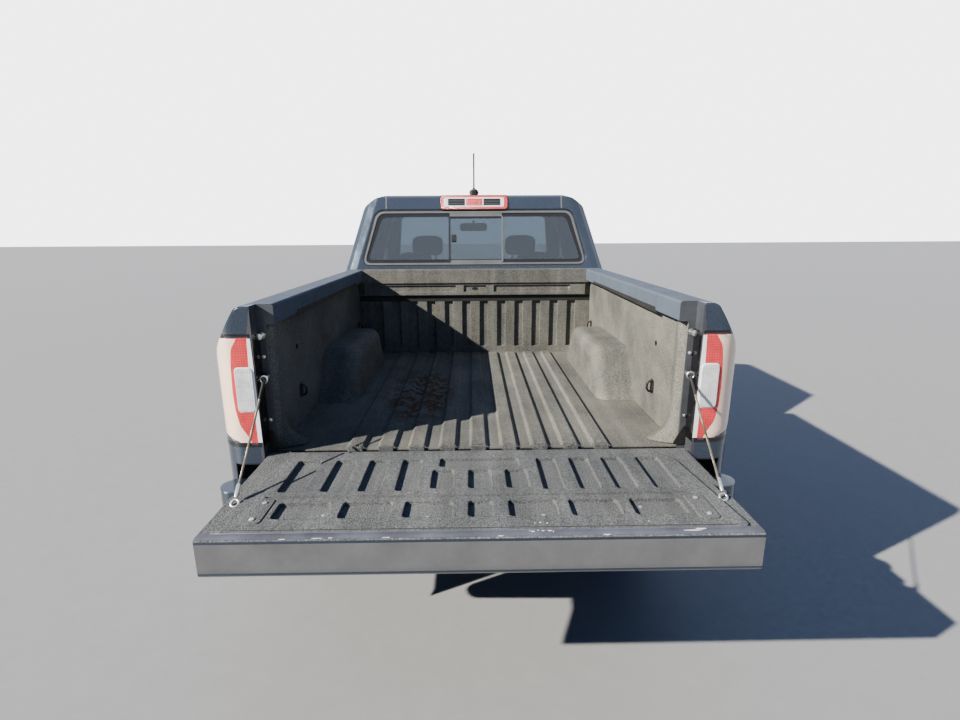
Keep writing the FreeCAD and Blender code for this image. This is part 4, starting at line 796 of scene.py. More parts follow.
def lampHit(along, z, side, onPanel=False):
    radius = lamp["turnRadius"]
    turn = min(max(0.0, (along - lamp["turnX"]) / radius), math.pi / 2)
    onward = max(0.0, along - lamp["turnX"] - radius * math.pi / 2)
    out = Vector((math.sin(turn), -math.cos(turn), 0.0))
    start = Vector((min(along, lamp["turnX"]), bedRear + radius + onward, z)) + out * 0.4
    panel = "bed_side_right" if side > 0 else "bed_side_left"
    names = ("tail_lamps", panel) if along < lamp["panelEdge"] else "tail_lamps"
    return onSurface(panel if onPanel else names, (start.x * side, start.y, start.z),
                     (-out.x * side, -out.y, 0))


def lampEdge(points, z):
    for (z0, x0), (z1, x1) in zip(points, points[1:]):
        if z0 <= z <= z1:
            return x0 + (x1 - x0) * (z - z0) / (z1 - z0)
    return points[0][1] if z < points[0][0] else points[-1][1]


def lampLimit(z, side):  # how far round the corner the lens reaches
    nearest, along = lamp["search"]
    while along > nearest and lampHit(along, z, side) is None:
        along -= 0.002
    return along - 0.003


def lampSheet(side, inner, outer, thickness, columns):
    grid = []
    for z in evenRun(lamp["bottom"], lamp["top"] - lamp["bottom"], lamp["rows"]):
        first, last = lampEdge(lamp["edges"][inner], z), lampLimit(z, side)
        if outer:
            last = min(lampEdge(lamp["edges"][outer], z), last)
        last = max(last, first + 0.002)
        grid.append(filledRow([lampHit(along, z, side) for along in evenRun(first, last - first, columns)]))
    return sheetPart(grid, thickness, 0.0006)


for label, side in sides:
    for name, inner, outer, thickness, columns, finish, slotName in lamp["shells"]:
        shell = lampSheet(side, inner, outer, thickness, columns)
        addPiece("tailLamp%s_%s" % (name, label), [shell], finish)
    bezel = rearPlate(sidePoints(roundRect(*lamp["bezel"]), side), bedRear - 0.001, *lamp["bezelBuild"])
    lens = rearPlate(sidePoints(roundRect(*lamp["reverse"]), side), bedRear - 0.0022, *lamp["reverseBuild"])
    addPiece("tailLampBezel_" + label, [bezel], "whiteLens")
    addPiece("reverseLamp_" + label, [lens], "clearLens")

# Dark bands round each lamp, between lens and corner panel, and beside the gate opening: the band over the
# lamp is painted shade, the band under it and the strip beside the opening are dark joints
lampJointAndShade = {"inner": 0.7665, "bands": ((1.2675, 1.2815, 0.985), (0.8765, 0.8915, 0.960)), "columns": 24,
             "edgeX": (0.7570, 0.7592), "edgeFoot": 0.879, "edgeRun": 0.400, "edgeRows": 30,
             "sheet": (0.0008, 0.0006)}
for label, side in sides:
    joints = []
    for low, high, last in lampJointAndShade["bands"]:
        alongs = evenRun(lampJointAndShade["inner"], last - lampJointAndShade["inner"], lampJointAndShade["columns"])
        rows = [[lampHit(along, z, side, True) for along in alongs] for z in (low, (low + high) / 2, high)]
        joints.append(sheetPart([filledRow(row) for row in rows], *lampJointAndShade["sheet"]))
    heights = evenRun(lampJointAndShade["edgeFoot"], lampJointAndShade["edgeRun"], lampJointAndShade["edgeRows"])
    rows = [[lampHit(x, z, side, True) for z in heights] for x in lampJointAndShade["edgeX"]]
    grid = [[hit or row[len(row) // 2] for hit in row] for row in rows]
    joints.append(sheetPart(grid, *lampJointAndShade["sheet"]))
    addPiece("lampJoint_" + label, joints, "glossBlack", sharp=60)
print("tail lamps made")


# Plates on a leaning face that looks rearward, given by x and height
def leanPlane(names, x, lowZ, highZ, fromY):
    low, high = (onSurface(names, (x, fromY, z), alongY)[0] for z in (lowZ, highZ))
    lean = (high.y - low.y) / (high.z - low.z)
    return {"origin": Vector((0, low.y, low.z)), "up": Vector((0, lean, 1)),
            "stretch": math.sqrt(1 + lean * lean)}


def onPlane(plane, points):
    return [(x, (z - plane["origin"].z) * plane["stretch"]) for x, z in points]


def lifted(plane, lift):
    return plane["origin"] + Vector(acrossX).cross(plane["up"].normalized()) * lift


def leanPlate(plane, points, lift, depth, chamfer=0.0):
    return platePart(onPlane(plane, points), lifted(plane, lift), acrossX, plane["up"], depth, chamfer)


def leanFrame(plane, outer, inner, lift, depth):
    return framePart(onPlane(plane, outer), onPlane(plane, inner), lifted(plane, lift), acrossX,
                     plane["up"], depth)


# High stop lamp: a pale band, a red middle, a cell with slats each side and the gasket
highLamp = {"face": (1.768, 1.818), "band": (-0.196, 0.196, 1.763, 1.823, 0.010),
            "bandBuild": (-0.0005, 0.0020, 0.0008), "centre": (-0.052, 0.052, 1.771, 1.815, 0.004),
            "centreBuild": (0.0010, 0.0022, 0.0008), "cells": ((-0.172, -0.060), (0.060, 0.172)),
            "cellBuild": (0.0010, 0.0016, 0.0006), "slats": ((-0.168, -0.064), (0.064, 0.168)),
            "slatFeet": (1.776, 1.786, 1.796, 1.806), "slatHeight": 0.0055, "slatBuild": (0.0022, 0.0024),
            "gasketOuter": (-0.223, 0.223, 1.746, 1.840, 0.018),
            "gasketInner": (-0.212, 0.212, 1.753, 1.833, 0.014), "gasketBuild": (-0.020, 0.017)}
lampFace = leanPlane("high_lamp", 0.0, *highLamp["face"], cabRear - 0.6)
band = leanPlate(lampFace, roundRect(*highLamp["band"]), *highLamp["bandBuild"])
addPiece("highLampBand", [band], "whiteLens")
centre = leanPlate(lampFace, roundRect(*highLamp["centre"]), *highLamp["centreBuild"])
addPiece("highLampCentre", [centre], "redLens")
lampCells = [leanPlate(lampFace, roundRect(x0, x1, *highLamp["centre"][2:]), *highLamp["cellBuild"])
             for x0, x1 in highLamp["cells"]]
addPiece("highLampCells", lampCells, "greySeal")
slats = [leanPlate(lampFace, rectangle(x0, x1, z, z + highLamp["slatHeight"]), *highLamp["slatBuild"])
         for x0, x1 in highLamp["slats"] for z in highLamp["slatFeet"]]
addPiece("highLampSlats", slats, "glossBlack")
edges = (roundRect(*highLamp[name]) for name in ("gasketOuter", "gasketInner"))
gasket = leanFrame(lampFace, *edges, *highLamp["gasketBuild"])
addPiece("highLampGasket", [gasket], "sealRubber")

# Rear window: seal, ceramic border, sliding middle pane and header strip
rearWindow = {"face": (1.44, 1.68), "middleZ": 1.565,
              "corners": [(-0.722, 1.400), (0.722, 1.400), (0.632, 1.730), (-0.632, 1.730)],
              "latch": (-0.150, -0.118, 1.540, 1.585, 0.006), "latchBuild": (0.0012, 0.008, 0.003)}
windowFrames = {  # inset and corner radius outside and inside, lift, depth, finish
    "rearWindowSeal": ((-0.004, 0.05), (0.008, 0.045), -0.002, 0.009, "greySeal"),
    "rearWindowBorder": ((0.006, 0.045), (0.030, 0.035), 0.0002, 0.0012, "glossBlack")}
sliderPlates = {  # edges, then lift, depth and chamfer, then finish
    "sliderRailTop": ((-0.158, 0.180, 1.690, 1.701), (0.0010, 0.0050, 0.0015), "glossBlack"),
    "sliderHeader": ((-0.160, 0.182, 1.701, 1.723), (0.0012, 0.0045, 0.0012), "greySeal"),
    "sliderRailFoot": ((-0.158, 0.178, 1.409, 1.424), (0.0012, 0.0035, 0.001), "greySeal"),
    "sliderPostLeft": ((-0.168, -0.156, 1.412, 1.704), (0.0012, 0.005, 0.0015), "blackPlastic"),
    "sliderPostRight": ((0.177, 0.187, 1.412, 1.704), (0.0012, 0.005, 0.0015), "greySeal")}
glassFace = leanPlane("rear_glass", 0.0, *rearWindow["face"], cabRear - 0.6)


def insetEdge(inset, radius):
    moved = [((abs(x) - inset * 1.05) * math.copysign(1, x),
              z + (inset if z < rearWindow["middleZ"] else -inset)) for x, z in rearWindow["corners"]]
    return roundCorners(moved, radius, 5)


for name, (outer, inner, lift, depth, finish) in windowFrames.items():
    addPiece(name, [leanFrame(glassFace, insetEdge(*outer), insetEdge(*inner), lift, depth)], finish)
for name, (edges, build, finish) in sliderPlates.items():
    addPiece(name, [leanPlate(glassFace, rectangle(*edges), *build)], finish)
latch = leanPlate(glassFace, roundRect(*rearWindow["latch"]), *rearWindow["latchBuild"])
addPiece("sliderLatch", [latch], "blackPlastic")
print("rear window made")

# Tailgate cables, from the stud on each rear pillar to the foot on the gate
cable = {"stud": (0.742, floorRear - 0.030, 1.118), "foot": (0.7185, floorRear - 0.386, 0.855),
         "strandRadius": 0.0019, "strands": 3, "turns": 20, "steps": 260, "sag": 0.004,
         "sleeve": {0.010: 0.0045, 0.020: 0.0062, 0.030: 0.0050, 0.070: 0.0046, 0.085: 0.0036},
         "ferrule": {-0.048: 0.0045, -0.044: 0.0062, -0.012: 0.0062, -0.004: 0.0048},
         "upperEye": (0.0125, 0.0034), "lowerEye": (0.0115, 0.0036),
         "studProfile": [(0, 0), (0, 0.0075), (0.024, 0.0075), (0.024, 0.0115), (0.031, 0.0105),
                         (0.033, 0.004), (0.033, 0)]}


def twistedStrands(start, end):
    along = (end - start).normalized()
    side = along.orthogonal().normalized()
    up = along.cross(side)
    parts = []
    for strand in range(cable["strands"]):
        path = []
        for t in evenRun(0, 1, cable["steps"]):
            angle = 2 * math.pi * (cable["turns"] * t + strand / cable["strands"])
            sag = Vector((0, 0, -cable["sag"] * math.sin(math.pi * t)))
            around = (side * math.cos(angle) + up * math.sin(angle)) * cable["strandRadius"]
            path.append(start.lerp(end, t) + sag + around)
        parts.append(tubePart(path, cable["strandRadius"] * 1.12, 6))
    return parts


def eyePart(centre, across, up, size):
    ringRadius, wireRadius = size
    return tubePart(ringPath(centre, across, up, ringRadius), wireRadius, 8, True)


for label, side in sides:
    stud, foot = (Vector((x * side, y, z)) for x, y, z in (cable["stud"], cable["foot"]))
    along = (foot - stud).normalized()
    strands = twistedStrands(stud + along * 0.012, foot - along * 0.006)
    rope = addPiece("gateCable_" + label, strands, "cableStrand", body=None,
                    replaced=("tailgate_cables",) if side > 0 else ())
    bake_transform(rope)
    sleeve = tubePart([stud + along * t for t in cable["sleeve"]], list(cable["sleeve"].values()))
    addPiece("cableSleeve_" + label, [sleeve], "sealRubber", sharp=60)
    upperEye = eyePart(stud + Vector((0, -0.004, 0)), acrossX, upZ, cable["upperEye"])
    addPiece("cableEye_" + label, [upperEye], "zincSteel", sharp=60)
    studPart = lathePart(cable["studProfile"], (stud.x, floorRear + 0.003, stud.z), (0, -1, 0), 20)
    addPiece("cableStud_" + label, [studPart], "zincSteel")
    ferrule = tubePart([foot + along * t for t in cable["ferrule"]], list(cable["ferrule"].values()))
    eyeCentre = foot + along * 0.010 + Vector((0, 0, -0.004))
    lowerEye = eyePart(eyeCentre, along, acrossX, cable["lowerEye"])
    addPiece("cableFerrule_" + label, [ferrule, lowerEye], "zincSteel", body="tailgate",
             sharp=60)
print("cables made")

# Tailgate: grey end cap, painted top band, access plates, screws, handle and worn flecks
gate = {"capFoot": 0.727, "capHeight": 0.097, "capRows": 8, "capColumns": 160, "capSheet": (0.0004, 0.001),
        "bandStart": 0.0025, "bandRun": 0.0270, "bandRows": 6, "bandColumns": 100,
        "bandSheet": (0.0012, 0.001), "lineHalf": 0.765, "lineAt": 0.0310, "lineWidth": 0.0030,
        "lineProud": 0.0006, "plateX": (-0.632, 0.632), "plateHalf": 0.029, "plateRuns": (-0.512, -0.374),
        "plateCheck": -0.448,
        "plateScrews": ((-0.628, -0.400), (-0.630, -0.490), (0.632, -0.400), (0.634, -0.490)),
        "plateBuild": (0.0032, 0.0014), "plateScrew": (0.0078, 0.0050), "smallScrew": (0.0062, 0.0036),
        "smallScrews": ((-0.447, -0.447), (-0.151, -0.467), (0.177, -0.463), (0.464, -0.423)),
        "flecks": ((0.128, -0.552, 0.004), (0.136, -0.556, 0.010), (0.150, -0.551, 0.003),
                   (0.163, -0.553, 0.009), (0.181, -0.553, 0.012), (0.190, -0.557, 0.003),
                   (-0.430, -0.570, 0.030), (-0.395, -0.569, 0.012), (-0.520, -0.571, 0.018),
                   (-0.250, -0.570, 0.022), (0.05, -0.570, 0.015), (0.33, -0.570, 0.02),
                   (0.145, -0.523, 0.004), (0.160, -0.521, 0.006), (0.178, -0.524, 0.004),
                   (0.455, -0.520, 0.004), (0.560, -0.560, 0.05), (0.585, -0.553, 0.03)),
        "hingeX": (0.700, 0.730), "hingeBack": 0.024, "hingeZ": 0.826, "hingeRadius": 0.0105}
gateHalf = max(abs(v.co.x) for v in nodes["tailgate"].data.vertices if v.co.y < gateEnd + 0.1) - 0.0005


def gateTop(x, y):
    return onSurface("tailgate", (x, y, 1.1), (0, 0, -1))


def capHit(x, z):
    missed = Vector((x, gateEnd + 0.004, z)), Vector((0, -1, 0))
    return onSurface("tailgate", (x, gateEnd - 0.3, z), alongY) or missed


def bandHit(x, y):
    return gateTop(x, y) or (Vector((x, y, 0.840)), Vector(upZ))


capRows = [[capHit(x, z) for x in evenRun(-gateHalf, 2 * gateHalf, gate["capColumns"])]
           for z in evenRun(gate["capFoot"], gate["capHeight"], gate["capRows"])]
addPiece("gateEndCap", [sheetPart(capRows, *gate["capSheet"])], "capPlastic", body="tailgate")
bandHalf = gateHalf - 0.002
bandRows = [[bandHit(x, y) for x in evenRun(-bandHalf, 2 * bandHalf, gate["bandColumns"])]
            for y in evenRun(gateEnd + gate["bandStart"], gate["bandRun"], gate["bandRows"])]
addPiece("gateTopBand", [sheetPart(bandRows, *gate["bandSheet"])], "gateBand", body="tailgate")
acrossGate = evenRun(-gate["lineHalf"], 2 * gate["lineHalf"], 40)
starts = [(x, gateEnd + gate["lineAt"], 0.95) for x in acrossGate]
edgeLine = surfaceStrip("tailgate", starts, (0, 0, -1), gate["lineWidth"], gate["lineProud"], closed=False)
addPiece("gateEdgeLine", [edgeLine], "sealRubber", body="tailgate")


def onGate(x, run, lift=0.0):
    hit = gateTop(x, floorRear + run)
    return (hit[0] if hit else Vector((x, floorRear + run, 0.845))) + Vector((0, 0, lift))


accessPlates = []
for middle in gate["plateX"]:
    edge = roundRect(middle - gate["plateHalf"], middle + gate["plateHalf"],
                     floorRear + gate["plateRuns"][0], floorRear + gate["plateRuns"][1], 0.014)
    accessPlates.append(topPlate(edge, onGate(middle, gate["plateCheck"]).z - 0.001, *gate["plateBuild"]))
addPiece("gateAccessPlates", accessPlates, "gateLiner", body="tailgate")
spots = [(onGate(x, run, 0.002), (0, 0, 0)) for x, run in gate["plateScrews"]]
repeatPiece("gatePlateScrews", screwParts(*gate["plateScrew"]), spots, "zincSteel", body="tailgate")
spots = [(onGate(x, run, -0.001), (0, 0, 0)) for x, run in gate["smallScrews"]]
repeatPiece("gateSmallScrews", screwParts(*gate["smallScrew"]), spots, "zincSteel", body="tailgate")
flecks = []
for k, (x, run, length) in enumerate(gate["flecks"]):
    spot = onGate(x, run, 0.0013 if run < -0.548 else 0.0002)
    halfWidth = 0.0016 + 0.0008 * (k % 3)
    edge = [(spot.x + length / 2 * math.cos(a),
             spot.y + halfWidth * math.sin(a) * (1 + 0.3 * math.cos(3 * a + k)))
            for a in [2 * math.pi * n / 9 for n in range(9)]]
    flecks.append(topPlate(edge, spot.z, 0.0004))
addPiece("gateScratches", flecks, "whiteLens", body="tailgate")

# Handle on the gate's outer skin, which faces down while the gate is open
handle = {"centre": floorRear - 0.445, "bezelOuter": (0.125, -0.040, 0.040, 0.018),
          "bezelInner": (0.098, -0.024, 0.024, 0.012), "lever": (0.094, -0.020, 0.014, 0.008)}
handleZ = onSurface("tailgate", (0, handle["centre"], 0.3), upZ)[0].z


def handleEdge(name):
    half, back, front, radius = handle[name]
    edge = roundRect(-half, half, handle["centre"] + back, handle["centre"] + front, radius)
    return [(x, -y) for x, y in edge]


bezel = framePart(handleEdge("bezelOuter"), handleEdge("bezelInner"), (0, 0, handleZ + 0.002), acrossX,
                  (0, -1, 0), 0.006)
addPiece("gateHandleBezel", [bezel], "blackPlastic", body="tailgate")
lever = platePart(handleEdge("lever"), (0, 0, handleZ + 0.001), acrossX, (0, -1, 0), 0.005, 0.002)
addPiece("gateHandleLever", [lever], "glossBlack", body="tailgate")
hingePin = tubePart([(x, floorRear - gate["hingeBack"], gate["hingeZ"]) for x in gate["hingeX"]],
                    gate["hingeRadius"], 16)
addPiece("gateHingePins", bothSides([hingePin]), "dullSteel", body="tailgate")
print("tailgate made")

# Load box, on the rear pillars: strikers, bolts and hinge plates
pillar = {"probe": (0.748, floorRear - 0.4, 1.20), "striker": (0.7470, 1.266),
          "bolts": ((0.7475, 1.190), (0.7475, 0.957)), "bolt": (0.0052, 0.0060),
          "strikerProfile": [(0, 0), (0, 0.0125), (0.003, 0.0115), (0.003, 0.0065), (0.022, 0.0065),
                             (0.022, 0.0110), (0.028, 0.0105), (0.030, 0.006), (0.030, 0)],
          "hingeShape": [(0.712, 0.846), (0.758, 0.846), (0.758, 0.915), (0.747, 0.918)],
          "hingeBuild": (0.004, 0.001)}
pillarY = onSurface("bed_side_right", pillar["probe"], alongY)[0].y
strikerX, strikerZ = pillar["striker"]
striker = lathePart(pillar["strikerProfile"], (strikerX, pillarY, strikerZ), (0, -1, 0), 24)
addPiece("gateStrikers", bothSides([striker]), "zincSteel", sharp=50)
spots = [(Vector((x * side, pillarY, z)), facingRear) for x, z in pillar["bolts"] for side in (1, -1)]
repeatPiece("pillarBolts", boltParts(*pillar["bolt"]), spots, "zincSteel")
edge = roundCorners(pillar["hingeShape"], 0.008, 3)
hingePlate = rearPlate(edge, pillarY - 0.0005, *pillar["hingeBuild"])
addPiece("gateHingePlates", bothSides([hingePlate]), "chassisBlack")

# Load box, on the walls: loops in cups, stamps, holes, and a dark strip under each rail lip that paints the
# shade there.
# A place is a run forward from the floor's rear edge and a height.
wall = {"loops": ((1.493, 1.026), (0.317, 0.974)), "cupHalf": (0.022, 0.030), "cupRadius": 0.016,
        "loopPath": ((0.004, 0.024), (-0.014, 0.021), (-0.022, 0.010), (-0.022, -0.010), (-0.014, -0.021),
                     (0.004, -0.024)),
        "hole": (0.308, 1.161), "holeRadius": 0.011, "stamp": (0.371, 1.225), "stampOuter": (0.034, 0.013),
        "stampInner": (0.029, 0.009), "lipShadeProbe": (0.78, 1.312), "loopRadius": 0.0046, "cupDepth": -0.0022,
        "stampDepth": -0.0020, "holeDepth": -0.0010, "lipShadeDepth": -0.0012,
        "lipShade": ((0.239, 1.297), (0.250, 1.319), (1.335, 1.319), (1.335, 1.307))}


def wallX(run, z):
    return onSurface("bed_side_right", (0.3, floorRear + run, z), acrossX)[0].x


loops, cups = [], []
for run, z in wall["loops"]:
    x, y = wallX(run, z), floorRear + run
    halfY, halfZ = wall["cupHalf"]
    edge = roundCorners(rectangle(-y - halfY, -y + halfY, z - halfZ, z + halfZ), wall["cupRadius"], 5)
    cups.append(wallPlate(edge, x - 0.0008, wall["cupDepth"]))
    path = [(x + inward, y, z + rise) for inward, rise in wall["loopPath"]]
    loops.append(tubePart(path, wall["loopRadius"]))
addPiece("tieDownCups", bothSides(cups), "blackPlastic")
addPiece("tieDownLoops", bothSides(loops), "chassisBlack", sharp=60)
run, z = wall["stamp"]
edges = [ovalPoints(-floorRear - run, z, *wall[name], 24) for name in ("stampOuter", "stampInner")]
stamp = framePart(*edges, (wallX(run, z) - 0.0005, 0, 0), (0, -1, 0), upZ, wall["stampDepth"])
addPiece("sideStamp", bothSides([stamp]), "sideLiner")
run, z = wall["hole"]
edge = ovalPoints(-floorRear - run, z, wall["holeRadius"], wall["holeRadius"], 20)
hole = wallPlate(edge, wallX(run, z) - 0.0006, wall["holeDepth"])
addPiece("sideHoles", bothSides([hole]), "glossBlack")
# dark strip under each rail lip: painted shade where the lip overhangs the wall
edge = [(-floorRear - run, z) for run, z in wall["lipShade"]][::-1]
lipShade = wallPlate(edge, wallX(*wall["lipShadeProbe"]) - 0.0005, wall["lipShadeDepth"])
addPiece("railSlots", bothSides([lipShade]), "sealRubber")


# Folded ends of the floor ribs, found by feeling across the floor's rear edge
def floorHit(x, run):
    return onSurface("bed_floor", (x, floorRear + run, 1.2), (0, 0, -1))


ribs = []
for x in (k * 0.002 for k in range(-365, 366)):
    hit = floorHit(x, 0.03)
    if hit and hit[0].z > floorTop + 0.006:
        if ribs and x - ribs[-1][-1] < 0.005:
            ribs[-1].append(x)
        else:
            ribs.append([x])
ribEnds = []
for rib in ribs:
    x0, x1 = rib[0] + 0.002, rib[-1] - 0.002
    if x1 - x0 > 0.01:
        ribTop = floorHit((x0 + x1) / 2, 0.05)[0].z
        ribEnds.append(blockPart(x0, x1, floorRear - 0.0005, floorRear + 0.0035, floorTop - 0.008,
                                 ribTop + 0.0004))
addPiece("floorRibEnds", ribEnds, "gateLiner", bevel=0.001)

# Rounded column of the liner beside each rear pillar, which flares out to the floor
column = {"foot": floorTop + 0.003, "top": 1.297, "rows": 28, "columns": 16, "edgeX": 0.7590,
          "wallX": 0.7335, "bulge": 0.016, "flare": 0.080, "flareHeight": 0.100, "length": 0.105,
          "turnAt": 0.35}


def columnRow(z):
    flare = column["flare"] * max(0.0, 1 - (z - floorTop) / column["flareHeight"]) ** 2.2
    bulge = column["bulge"] + flare
    row = []
    for t in evenRun(0, 1, column["columns"]):
        if t < column["turnAt"]:
            reach = column["edgeX"] - column["wallX"] + bulge
            x = column["edgeX"] - reach * math.sin(math.pi / 2 * t / column["turnAt"])
        else:
            past = (t - column["turnAt"]) / (1 - column["turnAt"])
            x = column["wallX"] - bulge * math.cos(math.pi / 2 * past) ** 1.6
        y = floorRear + 0.004 + (column["length"] + flare * 1.1) * t
        row.append((Vector((x, y, z)), Vector((-1, 0, 0))))
    return row


heights = evenRun(column["foot"], column["top"] - column["foot"], column["rows"])
columnSheet = sheetPart([columnRow(z) for z in heights], 0.0005, 0.0015)
addPiece("linerColumns", bothSides([columnSheet]), "sideLiner", sharp=60)

# Bulkhead: flush panel over the beam, a dark strip below it that paints the shade under the beam, drain hole
# and stop bolt, with depths from its face
bulkhead = {"panel": (0.7335, 0.0262, 1.2905, 1.3392), "seam": (0.7330, 0.0012, 1.1760, 1.2105),
            "holeZ": 1.2555, "holeHalf": (0.0195, 0.0095), "holeDepth": 0.0097,
            "bolt": (0.600, 0.0100, 1.257), "boltSize": (0.0075, 0.007), "plugDepth": 0.0008}
# the second block is painted shade: a dark strip under the beam's overhang
for name, finish, bevel in (("panel", "bedLiner", 0.0015), ("seam", "sealRubber", 0.0)):
    half, depth, foot, top = bulkhead[name]
    block = blockPart(-half, half, bulkheadY - depth, bulkheadY + 0.001, foot, top)
    addPiece("bulkhead" + name.capitalize(), [block], finish, bevel=bevel)
edge = ovalPoints(0, bulkhead["holeZ"], *bulkhead["holeHalf"], 28)
addPiece("bulkheadHole", [rearPlate(edge, bulkheadY - bulkhead["holeDepth"], bulkhead["plugDepth"])],
         "glossBlack")
x, depth, z = bulkhead["bolt"]
spots = [(Vector((x, bulkheadY - depth, z)), facingRear)]
repeatPiece("bulkheadBolt", boltParts(*bulkhead["boltSize"]), spots, "zincSteel")

# Antenna: thicker mast over a small rounded foot
antenna = {"mast": {1.880: 0.0065, 1.900: 0.0055, 2.000: 0.0048, 2.085: 0.0042}, "tipRadius": 0.0030,
           "footZ": 1.856,
           "footProfile": [(0, 0), (0, 0.034), (0.010, 0.031), (0.024, 0.020), (0.032, 0.009), (0.034, 0)]}
mastTop = max((v.co for v in nodes["antenna"].data.vertices), key=lambda corner: corner.z)
mastLow = onSurface("antenna", (0.0, -1.2, 1.930), alongY)[0]
mastSlope = (mastTop.y - mastLow.y - 0.003) / (mastTop.z - mastLow.z)


def mastAt(z):
    return Vector((0, mastLow.y + 0.003 + mastSlope * (z - mastLow.z), z))


mast = tubePart([mastAt(z) for z in (*antenna["mast"], mastTop.z - 0.0016)],
                [*antenna["mast"].values(), antenna["tipRadius"]])
addPiece("antennaMast", [mast], "blackPlastic", sharp=60)
foot = lathePart(antenna["footProfile"], (0, mastAt(antenna["footZ"] - 0.001).y, antenna["footZ"]), upZ, 36)
addPiece("antennaFoot", [foot], "greySeal", sharp=60)
print("load box made")

# Tyres: carcass turned from its section, with tread and shoulder blocks set round it
tyre = {"outside": [(-0.098, 0.219), (-0.116, 0.232), (-0.1262, 0.262), (-0.1272, 0.286), (-0.1250, 0.3085),
                    (-0.1262, 0.3105), (-0.1250, 0.3125), (-0.1200, 0.340), (-0.1085, 0.3640),
                    (-0.0950, 0.3705), (-0.05, 0.3730)],
        "inside": [(-0.092, 0.218), (-0.108, 0.262), (-0.100, 0.340)], "insideTop": 0.358, "crown": 0.3735,
        "blocks": 66, "rows": (-0.072, -0.024, 0.024, 0.072), "skew": 14,
        "treadBlock": (0.041, 0.028, 0.0092), "shoulder": (0.106, 0.3640), "shoulderLean": 30,
        "shoulderBlock": (0.030, 0.025, 0.0085)}
wheel = {"cap": [(0, 0), (0, 0.033), (0.004, 0.033), (0.008, 0.029), (0.010, 0.018), (0.011, 0)],
         "nuts": 6, "nutCircle": 0.066, "nutSize": (0.0105, 0.019), "valveRadii": [0.0042, 0.0036],
         "valve": ((0.070, 0.150, 0.100), (0.098, 0.142, 0.094))}


def mirrorProfile(points):
    return [(-along, radius) for along, radius in points[::-1]]


def blockSpot(centre, along, reach, angle, tilt):
    turn = Matrix.Rotation(angle - math.pi / 2, 3, "X") @ tilt
    place = Vector(centre) + Vector((along, math.cos(angle) * reach, math.sin(angle) * reach))
    return place, tuple(turn.to_euler("XYZ"))


def treadSpots(centre):
    spots = []
    for k in range(tyre["blocks"]):
        for n, along in enumerate(tyre["rows"]):
            angle = 2 * math.pi * (k + 0.5 * (n % 2)) / tyre["blocks"]
            skew = Matrix.Rotation(math.radians(tyre["skew"] * (1 if n % 2 else -1)), 3, "Z")
            spots.append(blockSpot(centre, along, tyre["crown"] - 0.002 - abs(along) * 0.014, angle, skew))
    return spots


def shoulderSpots(centre):
    along, reach = tyre["shoulder"]
    return [blockSpot(centre, sign * along, reach, 2 * math.pi * k / tyre["blocks"],
                      Matrix.Rotation(math.radians(tyre["shoulderLean"]) * sign, 3, "Y"))
            for k in range(tyre["blocks"]) for sign in (1, -1)]


def treadBlock(width, length, height):
    edge = roundCorners(rectangle(-width / 2, width / 2, -length / 2, length / 2), 0.004, 2)
    return [topPlate(edge, 0, height, 0.0012)]


carcass = [*tyre["outside"], (0.0, tyre["crown"]), *mirrorProfile(tyre["outside"]),
           *((-along, radius) for along, radius in tyre["inside"]), (0.0, tyre["insideTop"]),
           *tyre["inside"][::-1]]
for end, y in (("front", frontAxle), ("rear", rearAxle)):
    for side, sign in sides:
        label, x = end + "_" + side, wheelX * sign
        body = "wheel_" + label
        centre = (x, y, axleHeight)
        addPiece("carcass_" + label, [lathePart(carcass, centre, acrossX, 96)], "tyreRubber", body=body,
                 sharp=28, replaced=("tyre_" + label,))
        for name, size, spots in (("tread", tyre["treadBlock"], treadSpots(centre)),
                                  ("shoulder", tyre["shoulderBlock"], shoulderSpots(centre))):
            repeatPiece("%sBlocks_%s" % (name, label), treadBlock(*size), spots, "tyreRubber", body)
        faceX = abs(onSurface(body, (sign * 1.3, y, axleHeight), (-sign, 0, 0))[0].x)
        hubCap = lathePart(wheel["cap"], (sign * (faceX - 0.001), y, axleHeight), (sign, 0, 0), 32)
        addPiece("hubCap_" + label, [hubCap], "glossBlack", body=body)
        nuts = []
        for k in range(wheel["nuts"]):
            angle = 2 * math.pi * (k + 0.5) / wheel["nuts"]
            ahead, rise = wheel["nutCircle"] * math.cos(angle), wheel["nutCircle"] * math.sin(angle)
            hit = onSurface(body, (sign * 1.3, y + ahead, axleHeight + rise), (-sign, 0, 0))
            nuts.append((hit[0], (0, math.radians(90) * sign, 0)))
        repeatPiece("lugNuts_" + label, boltParts(*wheel["nutSize"]), nuts, "brightChrome", body)
        valve = [(x + sign * out, y + ahead, axleHeight + rise) for out, ahead, rise in wheel["valve"]]
        addPiece("valve_" + label, [tubePart(valve, wheel["valveRadii"])], "sealRubber", body=body)
print("tyres made")

# Mirrors
mirror = {"x": 0.972, "face": (1.31, 1.39), "glass": (0.902, 1.044, 1.272, 1.424, 0.022),
          "glassBuild": (-0.001, 0.0026, 0.001), "rim": (0.896, 1.050, 1.266, 1.430, 0.026),
          "rimBuild": (-0.001, 0.0042)}
for label, side in sides:
    plane = leanPlane("mirror_" + label, mirror["x"] * side, *mirror["face"], 0.9)
    edge, rim = (sidePoints(roundRect(*mirror[name]), side) for name in ("glass", "rim"))
    glass = leanPlate(plane, edge, *mirror["glassBuild"])
    addPiece("mirrorGlass_" + label, [glass], "mirrorSilver", body="door_front_" + label)
    surround = leanFrame(plane, rim, edge, *mirror["rimBuild"])
    addPiece("mirrorRim_" + label, [surround], "blackPlastic", body="door_front_" + label)


# Seals round the windows, following the panels. A strip, here and below, is its width and its height.
def edgePoints(corners, grow, steps):
    middle = Vector([sum(c[k] for c in corners) / len(corners) for k in (0, 1)])
    spots = [Vector(a).lerp(Vector(b), k / steps) for a, b in zip(corners, corners[1:] + corners[:1])
             for k in range(steps)]
    return [spot + (spot - middle).normalized() * grow for spot in spots]


